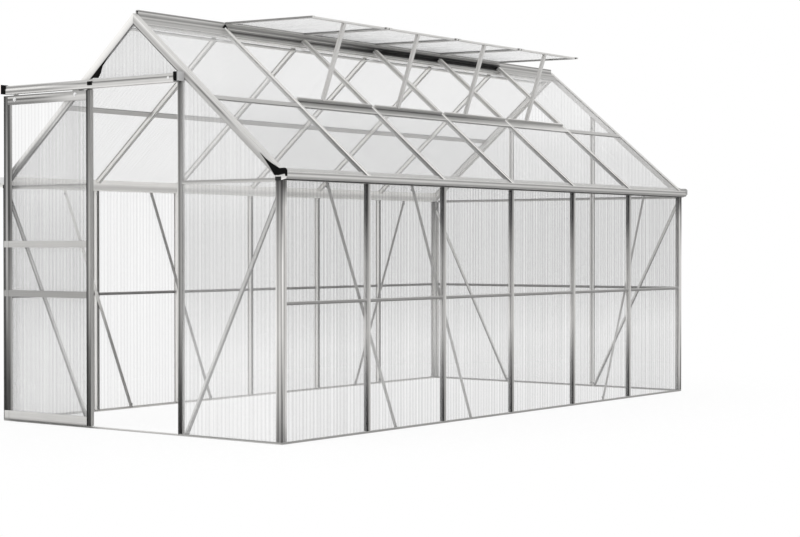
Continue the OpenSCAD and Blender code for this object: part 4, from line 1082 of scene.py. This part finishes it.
def solids(node):
    """Corners of each loose solid of a node, from a merged copy that is then taken away."""
    piece = copies(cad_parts[node], [Matrix()], "loose solids")
    pick(piece, lambda face: True)
    bpy.ops.mesh.remove_doubles(threshold=0.01 * MM)
    bpy.ops.mesh.separate(type="LOOSE")
    bpy.ops.object.mode_set(mode="OBJECT")
    parts = list(bpy.context.selected_objects)
    corners = sorted(sorted(tuple(vertex.co) for vertex in part.data.vertices) for part in parts)
    for part in parts:
        bpy.data.objects.remove(part)
    return corners


def brace_ends(corners):
    """Places of the bolts at the two ends of one flat brace, on its side towards the room."""
    low, high = [[limit(corner[k] for corner in corners) for k in range(3)] for limit in (min, max)]
    thin = 0 if high[0] - low[0] < BRACE_T else 1
    inward = -1 if low[thin] + high[thin] > 2 * (0, MIDDLE_Y)[thin] else 1
    direction = inward * Vector((X, Y)[thin])
    places = []
    for edge, step in ((low[2], BOLT_IN), (high[2], -BOLT_IN)):
        end = [corner[1 - thin] for corner in corners if abs(corner[2] - edge) < BRACE_END]
        point = Vector((0, 0, edge + step))
        point[thin] = low[thin] if inward < 0 else high[thin]
        point[1 - thin] = (min(end) + max(end)) / 2
        places.append(aim(point, direction))
    return places


def bright_steel(name, tone):
    """Zinc-plated steel with a fine spangle."""
    r = Recipe(name)
    patch = r.noise(STEEL_PATCH, 3)
    colour = r.mix(r.ramp(patch, 0.3, 0.7, [(0, 0), (1, 1)]), tone * 0.8, tone)
    roughness = r.maths("MULTIPLY_ADD", patch, 0.25, 0.25)
    return r.finish(colour, roughness, r.bump(patch, 0.2 * MM, 0.4), 0.6, specular=0.4)


class GREENHOUSE_OT_shade_wedges(bpy.types.Operator):
    """Adds black wedges of painted shade under the front rafters and the plates at the heads of the corner
    posts
    """

    bl_idname = "greenhouse.gussets"
    bl_label = "Shade wedges and head plates"

    def execute(self, context):
        # Black plates put where the rafters' undersides fall into shade: painted shade as solid wedges
        black = plastic_finish("black shade wedge", BLACK)
        for name, points in (("left_shade_wedge", LEFT_SHADE_WEDGE), ("right_shade_wedge", RIGHT_SHADE_WEDGE)):
            close_piece(shade_wedge(name, points), HOUSE, black)
        plate = bright_steel("head plate", 0.02)
        for side, name in ((1, "right_head_plate"), (-1, "left_head_plate")):
            close_piece(head_plate(name, side), HOUSE, plate)
        return {"FINISHED"}


def shade_wedge(name, points):
    """A flat plate cut to a curved wedge of painted shade: points run along its lower edge, from wide end to
    tip.
    """
    reach = len(points) - 1
    deselect()
    bpy.ops.mesh.primitive_grid_add(x_subdivisions=reach, y_subdivisions=1, size=1)
    piece = bpy.context.object
    piece.name = name
    for k, (x, z) in enumerate(points):
        for row, height in ((-0.5, z), (0.5, rafter_underside(x))):
            here = Vector((k / reach - 0.5, row, 0))
            pick(piece, lambda vertex: (vertex.co - here).length < MM, "VERT")
            bpy.ops.transform.translate(value=Vector((x, FRONT_Y + 0.3 * MM, height)) - here)
    return thicken(piece, (0, 1.8 * MM, 0))


def rafter_underside(x):
    """Height of a gable rafter's lower edge above a place on the gable."""
    return RIDGE_Z - abs(x) * math.tan(PITCH) - (RAFTER_D + 0.4 * MM) / math.cos(PITCH)


def head_plate(name, side):
    """A small plate that closes a corner post's head below the gutter's end."""
    near, far = side * (WALL_X - CORNER_W), side * WALL_X
    low = (min(near, far), FRONT_Y - 3.2 * MM, 1203 * MM)
    high = (max(near, far), FRONT_Y - 0.6 * MM, 1221 * MM)
    piece = block(name, low, high)
    sink(piece, FRONT, 1.5 * MM, 0.6 * MM)
    soften(piece, 0.4 * MM)
    return piece


class GREENHOUSE_OT_leaf_trim(bpy.types.Operator):
    """Adds the glazing channel of the leaf's left stile, in painted shade, and the rail ends that lap over it
    """

    bl_idname = "greenhouse.leaf_trim"
    bl_label = "Leaf trim"

    def execute(self, context):
        edge = LEAF_LEFT + STILE_W
        low = (edge, LEAF_Y + 0.5 * MM, 60 * MM)
        strip = block("leaf_glazing_channel", low, (edge + 30 * MM, LEAF_Y + 2.6 * MM, 1628 * MM))
        sink(strip, FRONT, 3 * MM, -0.8 * MM)
        soften(strip, 0.3 * MM)
        close_piece(strip, DOOR, channel_finish(edge))
        ends = []
        for foot, head in LEAF_LAPS:
            low = (LEAF_LEFT + 0.5 * MM, LEAF_Y - 1.4 * MM, foot)
            end = block("leaf_rail_end", low, (edge + 4 * MM, LEAF_Y - 0.1 * MM, head))
            sink(end, FRONT, 1.5 * MM, 0.3 * MM)
            soften(end, 0.3 * MM)
            ends.append(end)
        close_piece(join(ends, ends[0].name), DOOR, leaf_rail_finish())
        return {"FINISHED"}


def channel_finish(edge):
    """The glazing channel's metal in painted shade: dark beside the stile, paler past its middle, changing
    with height.
    """
    r = Recipe("glazing channel")
    x, _, z = r.split()
    pale = r.fade(x, [(edge + 12 * MM, 0), (edge + 22 * MM, 1)])
    tone = r.mix(pale, r.fade(z, CHANNEL_DARK), r.fade(z, CHANNEL_PALE))
    return aluminium_surface(r, tone, Z)


class GREENHOUSE_OT_ridge_fittings(bpy.types.Operator):
    """Adds tie plates under the ridge, a drip strip along its far flange and a block at the vents' end"""

    bl_idname = "greenhouse.ridge_fittings"
    bl_label = "Ridge fittings"

    def execute(self, context):
        bright = bright_steel("bright tie plate", 0.9)
        plate = block("tie_plate", (-46 * MM, -11 * MM, TIE_Z), (46 * MM, 11 * MM, TIE_Z + 3 * MM))
        pick(plate, lambda face: abs(face.normal.x) > 0.9)
        pull((0, 0, 0))
        bpy.ops.transform.resize(value=(1.12, 0.6, 0.8))
        soften(plate, 0.8 * MM)
        places = [Matrix.Translation((0, station(k), 0)) for k in range(1, BAYS)]
        close_piece(copies(plate, places, "ridge_tie_plates"), HOUSE, bright)
        bpy.data.objects.remove(plate)
        close_piece(drip_strip(), HOUSE, drip_finish())
        black = plastic_finish("black end clip", BLACK)
        place = Matrix.Translation((0, CLIP_Y, CLIP_Z)) @ Matrix.Rotation(math.radians(CLIP_TURN), 4, "X")
        for name, half, low, high, material in (
            ("front_vent_end_clip", CLIP_HALF, 9.5 * MM, 16 * MM, black),
            ("front_vent_end_cap", CLIP_HALF / 2, 16 * MM, 19 * MM, bright),
        ):
            clip = block(name, (low, -half, -half), (high, half, half))
            sink(clip, X, half * 0.2, 1 * MM)
            soften(clip, 1 * MM, 2)
            clip.matrix_world = place
            close_piece(join([clip], name), HOUSE, material)
        return {"FINISHED"}


def drip_strip():
    """A thin strip down the left slope from the ridge flange's edge, a little under the roof's surface."""
    near, far = [Vector(on_slope(-1, SLOPE_LEN - down, -STRIP_DEPTH)) for down in (STRIP_FROM, STRIP_TO)]
    middle, run = (near + far) / 2, far - near
    deselect()
    bpy.ops.mesh.primitive_plane_add(size=1)
    piece = bpy.context.object
    piece.name = "far_drip_strip"
    piece.scale = (run.length, REAR_Y - FRONT_Y - 60 * MM, 1)
    piece.rotation_euler = (0, math.atan2(-run.y, run.x), 0)
    piece.location = (middle.x, MIDDLE_Y, middle.y)
    bpy.ops.object.transform_apply(location=True, rotation=True, scale=True)
    return thicken(piece, -1.4 * MM * Vector(LEFT_SLOPE))


def drip_finish():
    """The drip strip's metal, paler away from the ridge."""
    r = Recipe("drip strip")
    up = r.maths("SUBTRACT", r.measure(r.sided()[0], UP_RIGHT), SLOPE_START)
    down = r.maths("SUBTRACT", SLOPE_LEN, up)
    marks = [(STRIP_FROM, 0.32), (STRIP_FROM + 4 * MM, 0.4), (STRIP_FROM + 9 * MM, 0.65), (STRIP_TO, 0.8)]
    tone = r.fade(down, marks)
    return aluminium_surface(r, tone, Y)


class GREENHOUSE_PT_panel(bpy.types.Panel):
    """Lists the steps"""

    bl_idname = "GREENHOUSE_PT_panel"
    bl_label = "Greenhouse"
    bl_space_type = "VIEW_3D"
    bl_region_type = "UI"
    bl_category = "Greenhouse"

    def draw(self, context):
        for operator in OPERATORS:
            self.layout.operator(operator.bl_idname)


GROUPS = (GreenhouseFinishes, GreenhouseFittings, GreenhouseStage)
OPERATORS = (
    GREENHOUSE_OT_stage,
    GREENHOUSE_OT_frame_finish,
    GREENHOUSE_OT_sheet_finish,
    GREENHOUSE_OT_plastic_finish,
    GREENHOUSE_OT_bolts,
    GREENHOUSE_OT_shade_wedges,
    GREENHOUSE_OT_leaf_trim,
    GREENHOUSE_OT_ridge_fittings,
)
CLASSES = GROUPS + OPERATORS + (GREENHOUSE_PT_panel,)


def register():
    for cls in CLASSES:
        bpy.utils.register_class(cls)
    bpy.types.Scene.greenhouse_finishes = PointerProperty(type=GreenhouseFinishes)
    bpy.types.Scene.greenhouse_fittings = PointerProperty(type=GreenhouseFittings)
    bpy.types.Scene.greenhouse_stage = PointerProperty(type=GreenhouseStage)


def unregister():
    del bpy.types.Scene.greenhouse_stage
    del bpy.types.Scene.greenhouse_fittings
    del bpy.types.Scene.greenhouse_finishes
    for cls in reversed(CLASSES):
        bpy.utils.unregister_class(cls)


def main():
    register()
    bpy.ops.greenhouse.stage()
    bpy.ops.greenhouse.frame_finish()
    bpy.ops.greenhouse.sheet_finish()
    bpy.ops.greenhouse.plastic_finish()
    bpy.ops.greenhouse.bolts()
    bpy.ops.greenhouse.gussets()
    bpy.ops.greenhouse.leaf_trim()
    bpy.ops.greenhouse.ridge_fittings()


if __name__ == "__main__":
    main()
